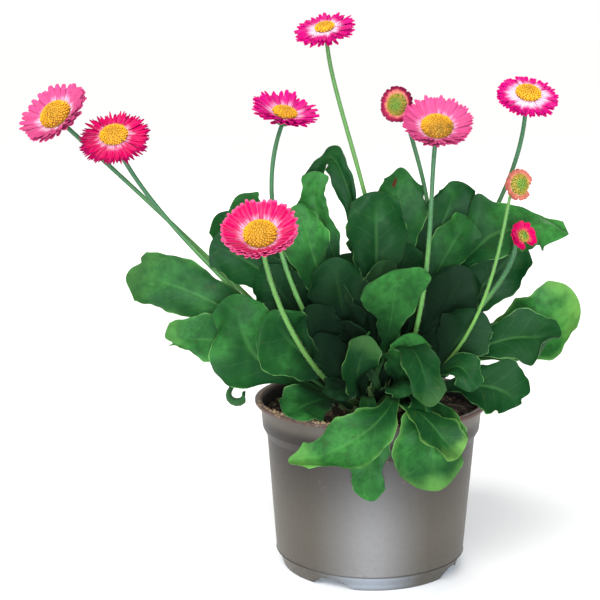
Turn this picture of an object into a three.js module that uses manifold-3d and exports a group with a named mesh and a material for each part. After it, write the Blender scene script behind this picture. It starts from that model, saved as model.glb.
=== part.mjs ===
// Potted English daisy: a rosette of spoon-shaped leaves, seven open blooms and three buds on their
// own stems, growing from one crown in the compost of a thin-walled nursery pot.
// Millimetres, +Z up. The origin is the middle of the pot's underside, and -Y is the plant's front.
import * as THREE from 'three';
import { mergeVertices } from 'three/addons/utils/BufferGeometryUtils.js';
import Module from 'manifold-3d';

const wasm = await Module();
wasm.setup();

// Driving dimensions
const CLEARANCE = 0.35; // gap between neighbouring pieces
const POT = {
  height: 77.2,
  wall: 1.0,
  edge: 0.5, // breaks of its corners
  sides: 28,
  foot: { radius: 39.6, top: 41, z: 5.1 }, // band that stands on the table
  ledge: { radius: 42.8, z: 7.5 }, // lower edge of the body, above the foot band
  shoulder: { radius: 47.0, z: 60.7 }, // where the collar steps out
  collar: { low: 49.0, high: 50.0, z: 64.6 },
  lip: { radius: 52.5, thickness: 1.8 },
  floor: { radius: 25, thickness: 1.2 },
  channel: { inner: 27, outer: 35.5, rise: 3.4 }, // raised ring of the underside
};
const NOTCH = { count: 4, first: -27, height: 4, below: 1, low: 23.5, high: 9, depth: 9, out: 5 };
const DRAIN = { radius: 3.2, ring: 31.2, low: 1, high: 9, sides: 10 }; // holes through the raised ring
const COMPOST = {
  rim: 70.5, mound: 73.5, crumb: 1.0, sides: 24,
  slope: [[0.84, 0.33], [0.64, 0.67], [0.46, 1]], // shares of the radius and of the rise
};
const CROWN = {
  radius: 17, base: 65, height: 15.8, sides: 12,
  outline: [[0.94, 0], [1, 0.32], [0.91, 0.6], [0.62, 0.82], [0.28, 0.96]], // shares of radius and height
};
const LEAF = {
  petiole: 2.8, slim: 0.7, // width at the root, and the share of it that a small leaf has
  wing: 1.3, // how much wider the petiole is where the blade begins
  thick: 1.7, thin: 0.75, // at the root, and over the blade
  neck: 0.38, // where the blade begins, as a share of the length
  widest: 0.62, close: 0.2, // where the blade is widest, and how much it narrows after
  round: 0.5, // how far the corners of the end fall back, as a share of the half width
  teeth: 3, tooth: 0.9, // scallops along each edge, and their height
  cup: 0.16, wave: 0.08, // rise of the edges, and of their ripple, as shares of the width
  ripples: 9, shift: 1.9, // turns of the ripple along the blade, and its lag between the edges
};
const STEM = { radius: 1.1, sides: 6, steps: 7 };
const HUB = { thickness: 1.9, proud: 0.25 }; // plate under the disc, from whose wall petals grow
const PETAL = {
  tip: 0.6, wide: 3.5, end: 2.5, wider: 0.7, // thickness, widths, and what a lower petal adds
  shoulder: 0.66, curl: 1.3, // where an upper petal is widest, and how it bends up
  spread: 7, lean: 5, // degrees between the layers, and of scatter in each
  scatter: 0.05, shorter: 0.13, bud: 0.8,
};
const DISC = { raised: 0.3, sunk: -0.25, scatter: 0.2, ragged: 0.3 };
const CUP = { depth: 5.4, root: 1.3, waist: [0.57, 3.6], rim: 0.82, tooth: 0.5, narrow: 0.86, sides: 8 };
const STEM_TOP = 4.2; // where a stem ends inside the cup, below the middle of the hub

// Rings on the crown from which leaves and stems rise: radius, and height of the sunken root
const OUTER = { radius: 13.2, z: 74 };
const MIDDLE = { radius: 8.4, z: 76.5 };
const INNER = { radius: 3.8, z: 78 };
const OUTER_STEM = { radius: 10.9, z: 75.5 };
const INNER_STEM = { radius: 6.2, z: 77.5 };

const COLOUR = {
  plastic: 0x77716f,
  compost: 0x241c17,
  crown: 0x5f7a33,
  leaf: 0x2f7d32,
  stem: 0x6a9b45,
  magenta: 0xd90a6a,
  pink: 0xee4f9a,
  salmon: 0xe98383,
  disc: 0xe3b21e,
  discGreen: 0xa9b63a,
};

const vector = (p) => new THREE.Vector3(...p);
const smooth = (x) => {
  const t = Math.min(Math.max(x, 0), 1);
  return t * t * (3 - 2 * t);
};

// A repeatable random draw between 0 and 1
function seeded(seed) {
  let state = seed;
  return () => {
    state = (state * 1103515245 + 12345) % 2147483648;
    return state / 2147483648;
  };
}

// Solids

function solidOf(geometry) {
  const bare = geometry.clone();
  for (const name of Object.keys(bare.attributes)) {
    if (name !== 'position') bare.deleteAttribute(name);
  }
  const merged = mergeVertices(bare, 1e-3);
  const index = merged.index.array;
  const triangles = [];
  for (let i = 0; i < index.length; i += 3) {
    const [a, b, c] = [index[i], index[i + 1], index[i + 2]];
    if (a !== b && b !== c && c !== a) triangles.push(a, b, c);
  }
  return new wasm.Manifold(new wasm.Mesh({
    numProp: 3,
    vertProperties: new Float32Array(merged.attributes.position.array),
    triVerts: new Uint32Array(triangles),
  }));
}

function geometryOf(solid) {
  const mesh = solid.getMesh();
  const geometry = new THREE.BufferGeometry();
  geometry.setAttribute('position', new THREE.BufferAttribute(mesh.vertProperties, 3));
  geometry.setIndex(new THREE.BufferAttribute(mesh.triVerts, 1));
  return geometry;
}

const joined = (solids) => solids.reduce((whole, piece) => whole.add(piece));
const carved = (solid, cuts) => cuts.reduce((whole, cut) => whole.subtract(cut), solid);

// A thin closed sheet over a grid of mid-surface points, split alike on both of its faces.
// Rows run along the sheet and columns across it, and its upper side is rows x columns.
function sheet(grid, thicknessAt) {
  const rows = grid.length;
  const columns = grid[0].length;
  const normalAt = (r, c) => {
    const along = grid[Math.min(r + 1, rows - 1)][c].clone().sub(grid[Math.max(r - 1, 0)][c]);
    const across = grid[r][Math.min(c + 1, columns - 1)].clone().sub(grid[r][Math.max(c - 1, 0)]);
    return along.cross(across).normalize();
  };
  const upper = [];
  const lower = [];
  grid.forEach((row, r) => row.forEach((point, c) => {
    const offset = normalAt(r, c).multiplyScalar(thicknessAt(r) / 2);
    upper.push(...point.clone().add(offset).toArray());
    lower.push(...point.clone().sub(offset).toArray());
  }));
  const under = rows * columns;
  const at = (r, c) => r * columns + c;
  const index = [];
  const quad = (a, b, c, d) => index.push(a, b, c, a, c, d);
  for (let r = 0; r < rows - 1; r++) {
    for (let c = 0; c < columns - 1; c++) {
      const [a, b, d, e] = [at(r, c), at(r, c + 1), at(r + 1, c), at(r + 1, c + 1)];
      if (c < (columns - 1) / 2) {
        index.push(a, d, e, a, e, b, under + a, under + e, under + d, under + a, under + b, under + e);
      } else {
        index.push(a, d, b, b, d, e, under + a, under + b, under + d, under + b, under + e, under + d);
      }
    }
    const [left, leftNext] = [at(r, 0), at(r + 1, 0)];
    const [right, rightNext] = [at(r, columns - 1), at(r + 1, columns - 1)];
    quad(left, under + left, under + leftNext, leftNext);
    quad(right, rightNext, under + rightNext, under + right);
  }
  for (let c = 0; c < columns - 1; c++) {
    const [a, b] = [at(0, c), at(0, c + 1)];
    const [y, z] = [at(rows - 1, c), at(rows - 1, c + 1)];
    quad(a, b, under + b, under + a);
    quad(y, under + y, under + z, z);
  }
  const geometry = new THREE.BufferGeometry();
  geometry.setAttribute('position', new THREE.Float32BufferAttribute([...upper, ...lower], 3));
  geometry.setIndex(index);
  return geometry;
}

function lathe(profile, sides) {
  const geometry = new THREE.LatheGeometry(profile.map(([r, z]) => new THREE.Vector2(r, z)), sides);
  return geometry.rotateX(Math.PI / 2);
}

function cylinder(radius, low, high, sides) {
  return lathe([[0, low], [radius, low], [radius, high], [0, high]], sides);
}

// Pot

// The inside of the pot's wall, from the middle of its floor up to the lip
function potInside() {
  const { wall, edge, foot, floor, channel, ledge, shoulder, collar, lip, height } = POT;
  const deck = channel.rise + floor.thickness;
  return [
    [floor.radius, floor.thickness],
    [channel.inner - edge, deck],
    [foot.radius - wall - edge, deck],
    [ledge.radius - wall, ledge.z + edge],
    [shoulder.radius - wall, shoulder.z + edge],
    [collar.low - wall, collar.z + edge],
    [collar.high - wall, height - lip.thickness],
  ];
}

function potShell() {
  const { wall, edge, foot, ledge, shoulder, collar, lip, floor, channel, height } = POT;
  const under = height - lip.thickness;
  const outside = [
    [floor.radius + wall, 0],
    [channel.inner, channel.rise],
    [channel.outer, channel.rise],
    [foot.radius - 2 * wall, 0],
    [foot.radius, 0],
    [foot.top, foot.z],
    [ledge.radius, ledge.z],
    [shoulder.radius, shoulder.z],
    [collar.low, collar.z],
    [collar.high, under],
    [lip.radius, under],
    [lip.radius, height - edge],
    [lip.radius - edge, height],
    [collar.high, height],
  ];
  return lathe([[0, 0], ...outside, ...potInside().reverse(), [0, floor.thickness]], POT.sides);
}

// A trapezium standing across the foot, wider at the table
function notchCutter(angle) {
  const { height, below, low, high, depth, out } = NOTCH;
  const shape = new THREE.Shape([
    new THREE.Vector2(-low / 2, -below),
    new THREE.Vector2(low / 2, -below),
    new THREE.Vector2(high / 2, height),
    new THREE.Vector2(-high / 2, height),
  ]);
  const geometry = new THREE.ExtrudeGeometry(shape, { depth, bevelEnabled: false });
  geometry.rotateX(Math.PI / 2).translate(0, out - POT.foot.radius, 0);
  return solidOf(geometry.rotateZ(THREE.MathUtils.degToRad(angle)));
}

function drainCutter(angle) {
  const { radius, ring, low, high, sides } = DRAIN;
  const hole = cylinder(radius, low, high, sides).translate(0, -ring, 0);
  return solidOf(hole.rotateZ(THREE.MathUtils.degToRad(angle)));
}

function potSolid() {
  const cuts = [];
  for (let i = 0; i < NOTCH.count; i++) {
    const angle = NOTCH.first + (360 / NOTCH.count) * i;
    cuts.push(notchCutter(angle), drainCutter(angle));
  }
  return carved(solidOf(potShell()), cuts);
}

// Leaves

function rootOn(ring, azimuth) {
  const angle = THREE.MathUtils.degToRad(azimuth);
  return new THREE.Vector3(ring.radius * Math.cos(angle), ring.radius * Math.sin(angle), ring.z);
}

// A leaf's spine runs from its root on the crown through two handles to its tip. It ends facing
// the way that face gives, and its size is the blade's width.
function leaf(name, ring, azimuth, first, second, tip, width, face, more = {}) {
  const root = rootOn(ring, azimuth);
  const spine = new THREE.CubicBezierCurve3(root, vector(first), vector(second), vector(tip));
  return { name, spine, width, face: vector(face).normalize(), ...more };
}

const FRONT = [0, -0.95, 0.3];
const FRONT_UP = [0, -0.7, 0.7];
const UP = [0, 0, 1];
const SMALL = { small: true };

// Leaves with one name are one piece: a small one branches off the foot of the leaf before it
const LEAVES = [
  // Low leaves that spread over the rim
  leaf('leaf_front_tongue', OUTER, 260, [-3, -40, 98], [-5, -68, 84], [-2, -57, 45], 18, [0, -0.9, 0.4]),
  leaf('leaf_front_drape', OUTER, 279, [14, -42, 104], [8, -78, 74], [-38, -65, 67], 24, [-0.1, -0.8, 0.6]),
  leaf('leaf_front_fold', OUTER, 299, [18, -38, 102], [23, -72, 86], [25, -64, 54], 31, [0.2, -0.85, 0.45]),
  leaf('leaf_front_left_low', OUTER, 228, [-18, -18, 84], [-28, -38, 86], [-37, -46, 80], 21, FRONT_UP),
  leaf('leaf_right_front_low', OUTER, 324, [28, -18, 88], [50, -27, 95], [66, -31, 81], 27, FRONT_UP),
  leaf('leaves_left_low', OUTER, 192, [-34, -8, 98], [-66, -16, 112], [-91, -20, 106], 22, FRONT),
  leaf('leaves_left_low', OUTER, 192, [-36, -6, 92], [-64, -4, 100], [-65, -4, 73], 7, UP, SMALL),
  leaf('leaves_right_middle', OUTER, 353, [34, -10, 98], [60, -17, 114], [82, -20, 108], 23, FRONT_UP),
  leaf('leaves_right_middle', OUTER, 353, [26, -12, 96], [38, -16, 104], [47, -16, 120], 24,
    FRONT, SMALL),
  leaf('leaf_right_back', OUTER, 32, [36, 16, 98], [62, 30, 108], [80, 38, 92], 28, UP),
  leaf('leaves_back_right', OUTER, 58, [26, 32, 100], [46, 56, 106], [56, 70, 86], 28, UP),
  leaf('leaves_back_right', OUTER, 58, [18, 24, 116], [30, 34, 132], [36, 40, 146], 24, FRONT_UP, SMALL),
  leaf('leaves_back', OUTER, 86, [4, 36, 100], [6, 62, 104], [8, 82, 82], 30, UP),
  leaf('leaves_back', OUTER, 86, [-4, 26, 86], [-9, 30, 94], [-10, 32, 114], 25, FRONT, SMALL),
  leaf('leaf_back_left', OUTER, 118, [-16, 30, 100], [-34, 54, 108], [-46, 72, 88], 28, UP),
  leaf('leaf_left_back', OUTER, 150, [-34, 20, 98], [-58, 38, 112], [-74, 48, 98], 28, UP),
  // Middle leaves
  leaf('leaf_left_front', MIDDLE, 211, [-34, -16, 86], [-57, -32, 98], [-60, -31, 130], 30, FRONT),
  leaf('leaves_front_left', MIDDLE, 256, [-12, -18, 92], [-30, -32, 100], [-43, -40, 121], 28, FRONT),
  leaf('leaves_front_left', MIDDLE, 256, [-10, -26, 92], [-14, -36, 92], [-18, -43, 87], 14,
    FRONT_UP, SMALL),
  leaf('leaves_front_right', MIDDLE, 290, [8, -22, 88], [15, -36, 94], [15, -41, 115], 21, FRONT),
  leaf('leaves_front_right', MIDDLE, 290, [0, -20, 94], [-6, -38, 98], [-2, -37, 115], 12,
    [-0.9, -0.4, 0.3], SMALL),
  leaf('leaf_left_long', MIDDLE, 184, [-36, -8, 104], [-74, -10, 130], [-107, -6, 134], 30, FRONT),
  leaf('leaf_right_light', MIDDLE, 336, [38, 2, 98], [68, 4, 98], [91, -2, 123], 34, FRONT_UP),
  leaf('leaf_right_upper', MIDDLE, 8, [26, 4, 130], [58, 4, 170], [87, 3, 150], 31, FRONT_UP),
  leaf('leaves_right_round', MIDDLE, 52, [16, 14, 118], [34, 18, 150], [38, 14, 174], 21, FRONT),
  leaf('leaves_right_round', MIDDLE, 52, [28, 16, 106], [54, 20, 122], [69, 18, 146], 25, FRONT, SMALL),
  leaf('leaves_back_tall', MIDDLE, 95, [2, 20, 112], [4, 38, 138], [4, 42, 152], 26, FRONT_UP),
  leaf('leaves_back_tall', MIDDLE, 95, [-12, 22, 112], [-28, 34, 130], [-34, 42, 144], 24, FRONT_UP, SMALL),
  leaf('leaves_left_upper', MIDDLE, 140, [-20, 10, 120], [-44, 10, 150], [-60, 6, 168], 22, FRONT),
  leaf('leaves_left_upper', MIDDLE, 140, [-26, 18, 112], [-52, 20, 134], [-70, 17, 158], 20, FRONT, SMALL),
  // Upright leaves of the middle
  leaf('leaf_centre_front', INNER, 285, [4, -16, 100], [8, -32, 114], [9, -37, 141], 29, FRONT),
  leaf('leaves_centre_left', INNER, 225, [-10, -6, 112], [-26, -10, 140], [-32, -6, 166], 25, FRONT),
  leaf('leaves_centre_left', INNER, 225, [-8, -12, 104], [-16, -18, 122], [-17, -19, 144], 26,
    FRONT, SMALL),
  leaf('leaves_left_inner', INNER, 172, [-24, 2, 118], [-50, 0, 140], [-72, -2, 147], 22, FRONT),
  leaf('leaves_left_inner', INNER, 172, [-20, -2, 104], [-38, -4, 118], [-48, -6, 138], 24, FRONT, SMALL),
  leaf('leaves_top_nodding', INNER, 125, [0, 12, 130], [-12, 18, 214], [-28, 14, 174], 14, FRONT_UP),
  leaf('leaves_top_nodding', INNER, 125, [-10, 8, 128], [-26, 8, 156], [-25, 6, 179], 14, FRONT, SMALL),
  leaf('leaves_top_round', INNER, 65, [4, 8, 120], [11, 9, 152], [13, 8, 181], 26, FRONT),
  leaf('leaves_top_round', INNER, 65, [2, -2, 118], [2, -3, 146], [1, -3, 171], 27, FRONT, SMALL),
  leaf('leaves_right_inner', INNER, 5, [16, 2, 112], [34, 2, 146], [44, 0, 158], 19, FRONT_UP),
  leaf('leaves_right_inner', INNER, 5, [18, -4, 100], [34, -6, 118], [41, -6, 138], 25, FRONT, SMALL),
];
const FORK = 0.12; // where a small leaf leaves the one before it, as a share of that one's length
LEAVES.forEach((blade, i) => {
  if (!blade.small) return;
  const stalk = LEAVES.slice(0, i).findLast((other) => !other.small);
  blade.spine.v0 = stalk.spine.getPoint(FORK);
});

function halfWidth(blade, s) {
  const b = (s - LEAF.neck) / (1 - LEAF.neck);
  const petiole = blade.small ? LEAF.slim * LEAF.petiole : LEAF.petiole;
  const narrow = (petiole / 2) * (1 + LEAF.wing * Math.min(s / LEAF.neck, 1) ** 2);
  if (b <= 0) return narrow;
  const swell = smooth(b / LEAF.widest);
  const past = Math.max(0, (b - LEAF.widest) / (1 - LEAF.widest));
  return narrow + (blade.width / 2 - narrow) * swell * (1 - LEAF.close * past ** 2);
}

// The direction that the upper side faces at s, turning from inward at the root to blade.face
function leafNormal(blade, s, tangent) {
  const root = blade.spine.v0;
  const inward = new THREE.Vector3(-root.x, -root.y, 12).normalize();
  const hint = inward.lerp(blade.face, smooth(s / 0.6));
  return hint.addScaledVector(tangent, -hint.dot(tangent)).normalize();
}

// A point of the leaf's mid-surface: s along the spine, u from -1 to 1 across
function leafPoint(blade, s, u, phase) {
  const b = Math.max(0, (s - LEAF.neck) / (1 - LEAF.neck));
  const half = halfWidth(blade, s);
  const length = blade.spine.v0.distanceTo(blade.spine.v3);
  const at = s - (LEAF.round * half * u * u * b ** 4) / length;
  const tangent = blade.spine.getTangent(at);
  const normal = leafNormal(blade, at, tangent);
  const side = normal.clone().cross(tangent);
  const tooth = LEAF.tooth * smooth(b * 3) * Math.cos(b * LEAF.teeth * 2 * Math.PI) * u ** 5;
  const ripple = Math.sin(b * LEAF.ripples + phase + (u > 0 ? LEAF.shift : 0));
  const wave = LEAF.wave * blade.width * smooth(b * 2) * Math.abs(u) ** 3 * ripple;
  return blade.spine.getPoint(at)
    .addScaledVector(side, half * u + tooth)
    .addScaledVector(normal, LEAF.cup * half * u * u + wave);
}

const GOLDEN = 2.39996;
const FULL = { rows: 6, across: [-1, -0.5, 0, 0.5, 1] };
const COARSE = { rows: 5, across: [-1, 0, 1] };

function leafSolid(blade, order) {
  const { rows, across } = blade.small ? COARSE : FULL;
  const stations = [0, LEAF.neck * 0.55];
  for (let i = 0; i <= rows; i++) stations.push(LEAF.neck + ((1 - LEAF.neck) * i) / rows);
  const grid = stations.map((s) => across.map((u) => leafPoint(blade, s, u, order * GOLDEN)));
  const thickness = stations.map((s) => LEAF.thin + (LEAF.thick - LEAF.thin) * (1 - smooth(s / LEAF.neck)));
  return solidOf(sheet(grid, (row) => thickness[row]));
}

// The straight hole that a petiole or stem needs where it leaves the crown
const SOCKET = { reach: 7, below: 0.5, clearance: 0.5 };

function petioleSocket(blade) {
  const { v0, v1 } = blade.spine;
  const speed = 3 * v0.distanceTo(v1);
  const grid = [-SOCKET.below / speed, SOCKET.reach / speed].map((s) => {
    const tangent = blade.spine.getTangent(Math.max(s, 0));
    const side = leafNormal(blade, Math.max(s, 0), tangent).cross(tangent);
    const half = halfWidth(blade, Math.max(s, 0)) + SOCKET.clearance;
    return [-1, 1].map((u) => blade.spine.getPoint(s).addScaledVector(side, half * u));
  });
  return solidOf(sheet(grid, () => LEAF.thick + 2 * SOCKET.clearance));
}

// Blooms

function bloom(name, ring, azimuth, handles, at, face, more) {
  const facing = vector(face).normalize();
  const base = vector(at).addScaledVector(facing, -STEM_TOP);
  const stem = new THREE.CubicBezierCurve3(rootOn(ring, azimuth), ...handles.map(vector), base);
  const usual = { radius: 15, disc: 7, dome: 0.42, cup: 12, petals: 14 };
  return { name, stem, at: vector(at), facing, ...usual, ...more };
}

const BLOOMS = [
  bloom('bloom_far_left', OUTER_STEM, 160, [[-50, 12, 118], [-118, 9, 182]], [-135.7, -15, 204],
    [-0.41, -0.61, 0.68], { colour: COLOUR.pink, radius: 16, disc: 7.3, dome: 0.65, cup: 23 }),
  bloom('bloom_left', OUTER_STEM, 174, [[-46, 5, 112], [-96, -6, 156]], [-111.8, -14, 195.4],
    [-0.06, -0.64, 0.77], { colour: COLOUR.magenta, radius: 15.7, disc: 6.3, cup: 0 }),
  bloom('bloom_front', OUTER_STEM, 246, [[-22, -36, 88], [-42, -56, 122]], [-48, -60, 158.6],
    [-0.08, -0.65, 0.76], { colour: COLOUR.magenta, radius: 15.9, disc: 7.1, dome: 0.7, cup: 31 }),
  bloom('bloom_upper_left', INNER_STEM, 205, [[-34, -26, 118], [-54, -16, 164]], [-39, 0, 204],
    [0.2, -0.39, 0.9], { colour: COLOUR.magenta, radius: 15, disc: 5.6, cup: 19 }),
  bloom('bloom_top', INNER_STEM, 95, [[21, 14, 127.7], [-18.3, 24, 202.4]], [-20.8, 25, 240.8],
    [-0.18, -0.43, 0.88], { colour: COLOUR.magenta, radius: 13.9, disc: 4.7, cup: 3 }),
  bloom('bloom_middle_right', OUTER_STEM, 312, [[28, -20, 120], [22, -24, 170]], [25.6, -25, 199.6],
    [0, -0.66, 0.75], { colour: COLOUR.pink, radius: 14.8, disc: 7, dome: 0.5, cup: 31 }),
  bloom('bloom_far_right', INNER_STEM, 30, [[40, 18, 130], [70, 22, 170]], [68.1, 5, 212.3],
    [0.09, -0.56, 0.82], { colour: COLOUR.pink, radius: 13.8, disc: 5.9, cup: 0 }),
  bloom('bud_high', OUTER_STEM, 72, [[46, 24, 132], [22, 25, 176.4]], [11.9, 15, 207.9],
    [-0.54, -0.83, 0.1], { colour: COLOUR.salmon, radius: 8.2, disc: 4.8, cup: 24, petals: 8, bud: true }),
  bloom('bud_right', OUTER_STEM, 340, [[49, -25, 101], [52, -30, 147]], [59.4, -32, 176.9],
    [0.45, -0.87, 0.12], { colour: COLOUR.salmon, radius: 6.8, disc: 4.5, cup: 14, petals: 8, bud: true }),
  bloom('bud_low_right', OUTER_STEM, 20, [[44, 2, 112], [62, -14, 134]], [63.3, -20.8, 153.2],
    [0.5, -0.75, 0.43], { colour: COLOUR.magenta, radius: 6.8, disc: 2.7, cup: 20, petals: 8, bud: true }),
];

// Turns a shape made round +Z at the origin to the way the bloom faces, at its place
function onBloom(geometry, flower) {
  const turn = new THREE.Quaternion().setFromUnitVectors(new THREE.Vector3(0, 0, 1), flower.facing);
  return geometry.applyQuaternion(turn).translate(...flower.at.toArray());
}

// The rim of the hub is cut in twice as many sectors as a layer has petals. Even sectors carry an
// upper petal on the upper half of their wall, and odd ones a lower petal on the lower half.
function petalsSolid(flower, seed) {
  const random = seeded(seed);
  const sectors = 2 * flower.petals;
  const hub = flower.disc + HUB.proud;
  const levels = [HUB.thickness / 2, 0, -HUB.thickness / 2];
  const points = [[0, 0, levels[0]], [0, 0, levels[2]]];
  const faces = [];
  const polar = (radius, angle, z) => [radius * Math.cos(angle), radius * Math.sin(angle), z];
  for (const z of levels) {
    for (let i = 0; i < sectors; i++) points.push(polar(hub, (2 * Math.PI * i) / sectors, z));
  }
  const rim = (level, i) => 2 + level * sectors + (i % sectors);
  const quad = (a, b, c, d) => faces.push(a, b, c, a, c, d);
  for (let i = 0; i < sectors; i++) {
    const lower = i % 2;
    const [bare, held] = lower ? [0, 1] : [1, 0];
    faces.push(0, rim(0, i), rim(0, i + 1), 1, rim(2, i + 1), rim(2, i));
    quad(rim(bare, i), rim(bare + 1, i), rim(bare + 1, i + 1), rim(bare, i + 1));
    let ring = [rim(held, i), rim(held, i + 1), rim(held + 1, i + 1), rim(held + 1, i)];
    for (const station of petalStations(flower, i, (levels[held] + levels[held + 1]) / 2, random)) {
      const next = station.map((point) => points.push(point) - 1);
      for (let k = 0; k < 4; k++) quad(ring[k], next[k], next[(k + 1) % 4], ring[(k + 1) % 4]);
      ring = next;
    }
    quad(ring[0], ring[3], ring[2], ring[1]);
  }
  const geometry = new THREE.BufferGeometry();
  geometry.setAttribute('position', new THREE.Float32BufferAttribute(points.flat(), 3));
  geometry.setIndex(faces);
  return solidOf(onBloom(geometry, flower));
}

// The corners of one petal's cross-sections from near its root to its end
function petalStations(flower, sector, level, random) {
  const hub = flower.disc + HUB.proud;
  const lower = sector % 2;
  const angle = ((sector + 0.5) / flower.petals) * Math.PI + (random() - 0.5) * PETAL.scatter;
  const reach = (flower.radius - hub) * (1 - PETAL.shorter * random());
  const degrees = flower.cup - PETAL.spread * lower + PETAL.lean * (random() - 0.5);
  const rise = Math.tan(THREE.MathUtils.degToRad(degrees));
  const scale = flower.bud ? PETAL.bud : 1;
  const shares = lower ? [1] : [PETAL.shoulder, 1];
  return shares.map((share) => {
    const width = (share < 1 ? PETAL.wide : PETAL.end + PETAL.wider * lower) * scale;
    const out = hub + reach * share;
    const z = level + rise * reach * share ** PETAL.curl;
    return [[-1, 1], [1, 1], [1, -1], [-1, -1]].map(([side, up]) => [
      out * Math.cos(angle) - ((side * width) / 2) * Math.sin(angle),
      out * Math.sin(angle) + ((side * width) / 2) * Math.cos(angle),
      z + (up * PETAL.tip) / 2,
    ]);
  });
}

// The dome of disc florets, raised and sunk in turn
function discSolid(flower, seed) {
  const random = seeded(seed);
  const rings = flower.bud ? [0.5, 0.85, 1] : [0.36, 0.66, 0.9, 1];
  const sides = flower.bud ? 8 : 12;
  const height = flower.disc * flower.dome;
  const base = HUB.thickness / 2 + CLEARANCE;
  const points = [0, 0, base, 0, 0, base + height];
  const index = [];
  rings.forEach((share, ring) => {
    for (let i = 0; i < sides; i++) {
      const bump = ((i + ring) % 2 ? DISC.raised : DISC.sunk) + DISC.scatter * (random() - 0.5);
      const last = ring === rings.length - 1;
      const angle = ((i + ring / 2) / sides) * 2 * Math.PI;
      const radius = flower.disc * share + (last ? DISC.ragged * bump : 0);
      const z = last ? base : base + height * Math.sqrt(1 - share * share) + bump;
      points.push(radius * Math.cos(angle), radius * Math.sin(angle), z);
    }
  });
  const at = (ring, i) => 2 + ring * sides + (i % sides);
  for (let i = 0; i < sides; i++) {
    index.push(1, at(0, i), at(0, i + 1));
    index.push(0, at(rings.length - 1, i + 1), at(rings.length - 1, i));
    for (let ring = 1; ring < rings.length; ring++) {
      const [a, b] = [at(ring - 1, i), at(ring - 1, i + 1)];
      const [c, d] = [at(ring, i), at(ring, i + 1)];
      index.push(a, c, b, b, c, d);
    }
  }
  const geometry = new THREE.BufferGeometry();
  geometry.setAttribute('position', new THREE.Float32BufferAttribute(points, 3));
  geometry.setIndex(index);
  return solidOf(onBloom(geometry, flower));
}

function tube(curve, radius, sides, steps) {
  const shape = new THREE.Shape();
  for (let i = 0; i < sides; i++) {
    const angle = (i / sides) * 2 * Math.PI;
    const [x, y] = [radius * Math.cos(angle), radius * Math.sin(angle)];
    if (i) shape.lineTo(x, y);
    else shape.moveTo(x, y);
  }
  return new THREE.ExtrudeGeometry(shape, { steps, bevelEnabled: false, extrudePath: curve });
}

// The green cup of pointed bracts under a bloom, with every other corner of its rim drawn in
function bractCup(flower) {
  const { depth, root, waist, tooth, narrow, sides } = CUP;
  const top = -HUB.thickness / 2 - CLEARANCE;
  const rim = flower.disc * CUP.rim;
  const outline = [[0, -depth], [root, -depth], [rim * waist[0], -waist[1]], [rim, top - tooth], [0, top]];
  const geometry = lathe(outline, sides);
  const position = geometry.attributes.position;
  for (let i = 0; i < position.count; i++) {
    const [x, y, z] = [position.getX(i), position.getY(i), position.getZ(i)];
    const side = Math.round((Math.atan2(x, y) / (2 * Math.PI)) * sides);
    const drawn = Math.abs(z - (top - tooth)) < 1e-4 && side % 2;
    if (drawn) position.setXYZ(i, x * narrow, y * narrow, z - tooth);
  }
  return solidOf(onBloom(geometry, flower));
}

function stemSolid(flower) {
  return solidOf(tube(flower.stem, STEM.radius, STEM.sides, STEM.steps)).add(bractCup(flower));
}

function stemSocket(flower) {
  const { v0, v1 } = flower.stem;
  const speed = 3 * v0.distanceTo(v1);
  const [low, high] = [-SOCKET.below, SOCKET.reach].map((way) => flower.stem.getPoint(way / speed));
  return solidOf(tube(new THREE.LineCurve3(low, high), STEM.radius + SOCKET.clearance, STEM.sides, 1));
}

// Crown and compost

function crownSolid(sockets) {
  const { radius, base, height, outline, sides } = CROWN;
  const profile = outline.map(([r, z]) => [r * radius, base + z * height]);
  return carved(solidOf(lathe([[0, base], ...profile, [0, base + height]], sides)), sockets);
}

// The compost's outline: the pot's wall a clearance away, and a top that rises to the crown
function compostOutline() {
  const { rim, mound, slope } = COMPOST;
  const wall = potInside().slice(0, -1).map(([r, z]) => [r - CLEARANCE, z + CLEARANCE]);
  const [edge] = wall[wall.length - 1];
  const top = slope.map(([r, z]) => [r * edge, rim + z * (mound - rim)]);
  return [[0, wall[0][1]], ...wall, [edge, rim], ...top, [0, mound]];
}

// Compost fills the pot up to a crumbly top
function compostSolid(sockets) {
  const random = seeded(11);
  const geometry = lathe(compostOutline(), COMPOST.sides);
  const merged = mergeVertices(geometry.deleteAttribute('normal').deleteAttribute('uv'), 1e-3);
  const position = merged.attributes.position;
  for (let i = 0; i < position.count; i++) {
    const outward = Math.hypot(position.getX(i), position.getY(i));
    if (position.getZ(i) > COMPOST.rim - 0.5 && outward > 1) {
      position.setZ(i, position.getZ(i) + COMPOST.crumb * (random() - 0.5) * 2);
    }
  }
  const { radius, base, height, sides } = CROWN;
  const hole = cylinder(radius + CLEARANCE, base - CLEARANCE, base + height, sides);
  return carved(solidOf(merged), [solidOf(hole), ...sockets]);
}

// Assembly

function piece(name, solid, colour, roughness) {
  const material = new THREE.MeshStandardMaterial({ color: colour, roughness, metalness: 0 });
  const mesh = new THREE.Mesh(geometryOf(solid), material);
  mesh.name = name;
  return mesh;
}

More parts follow.
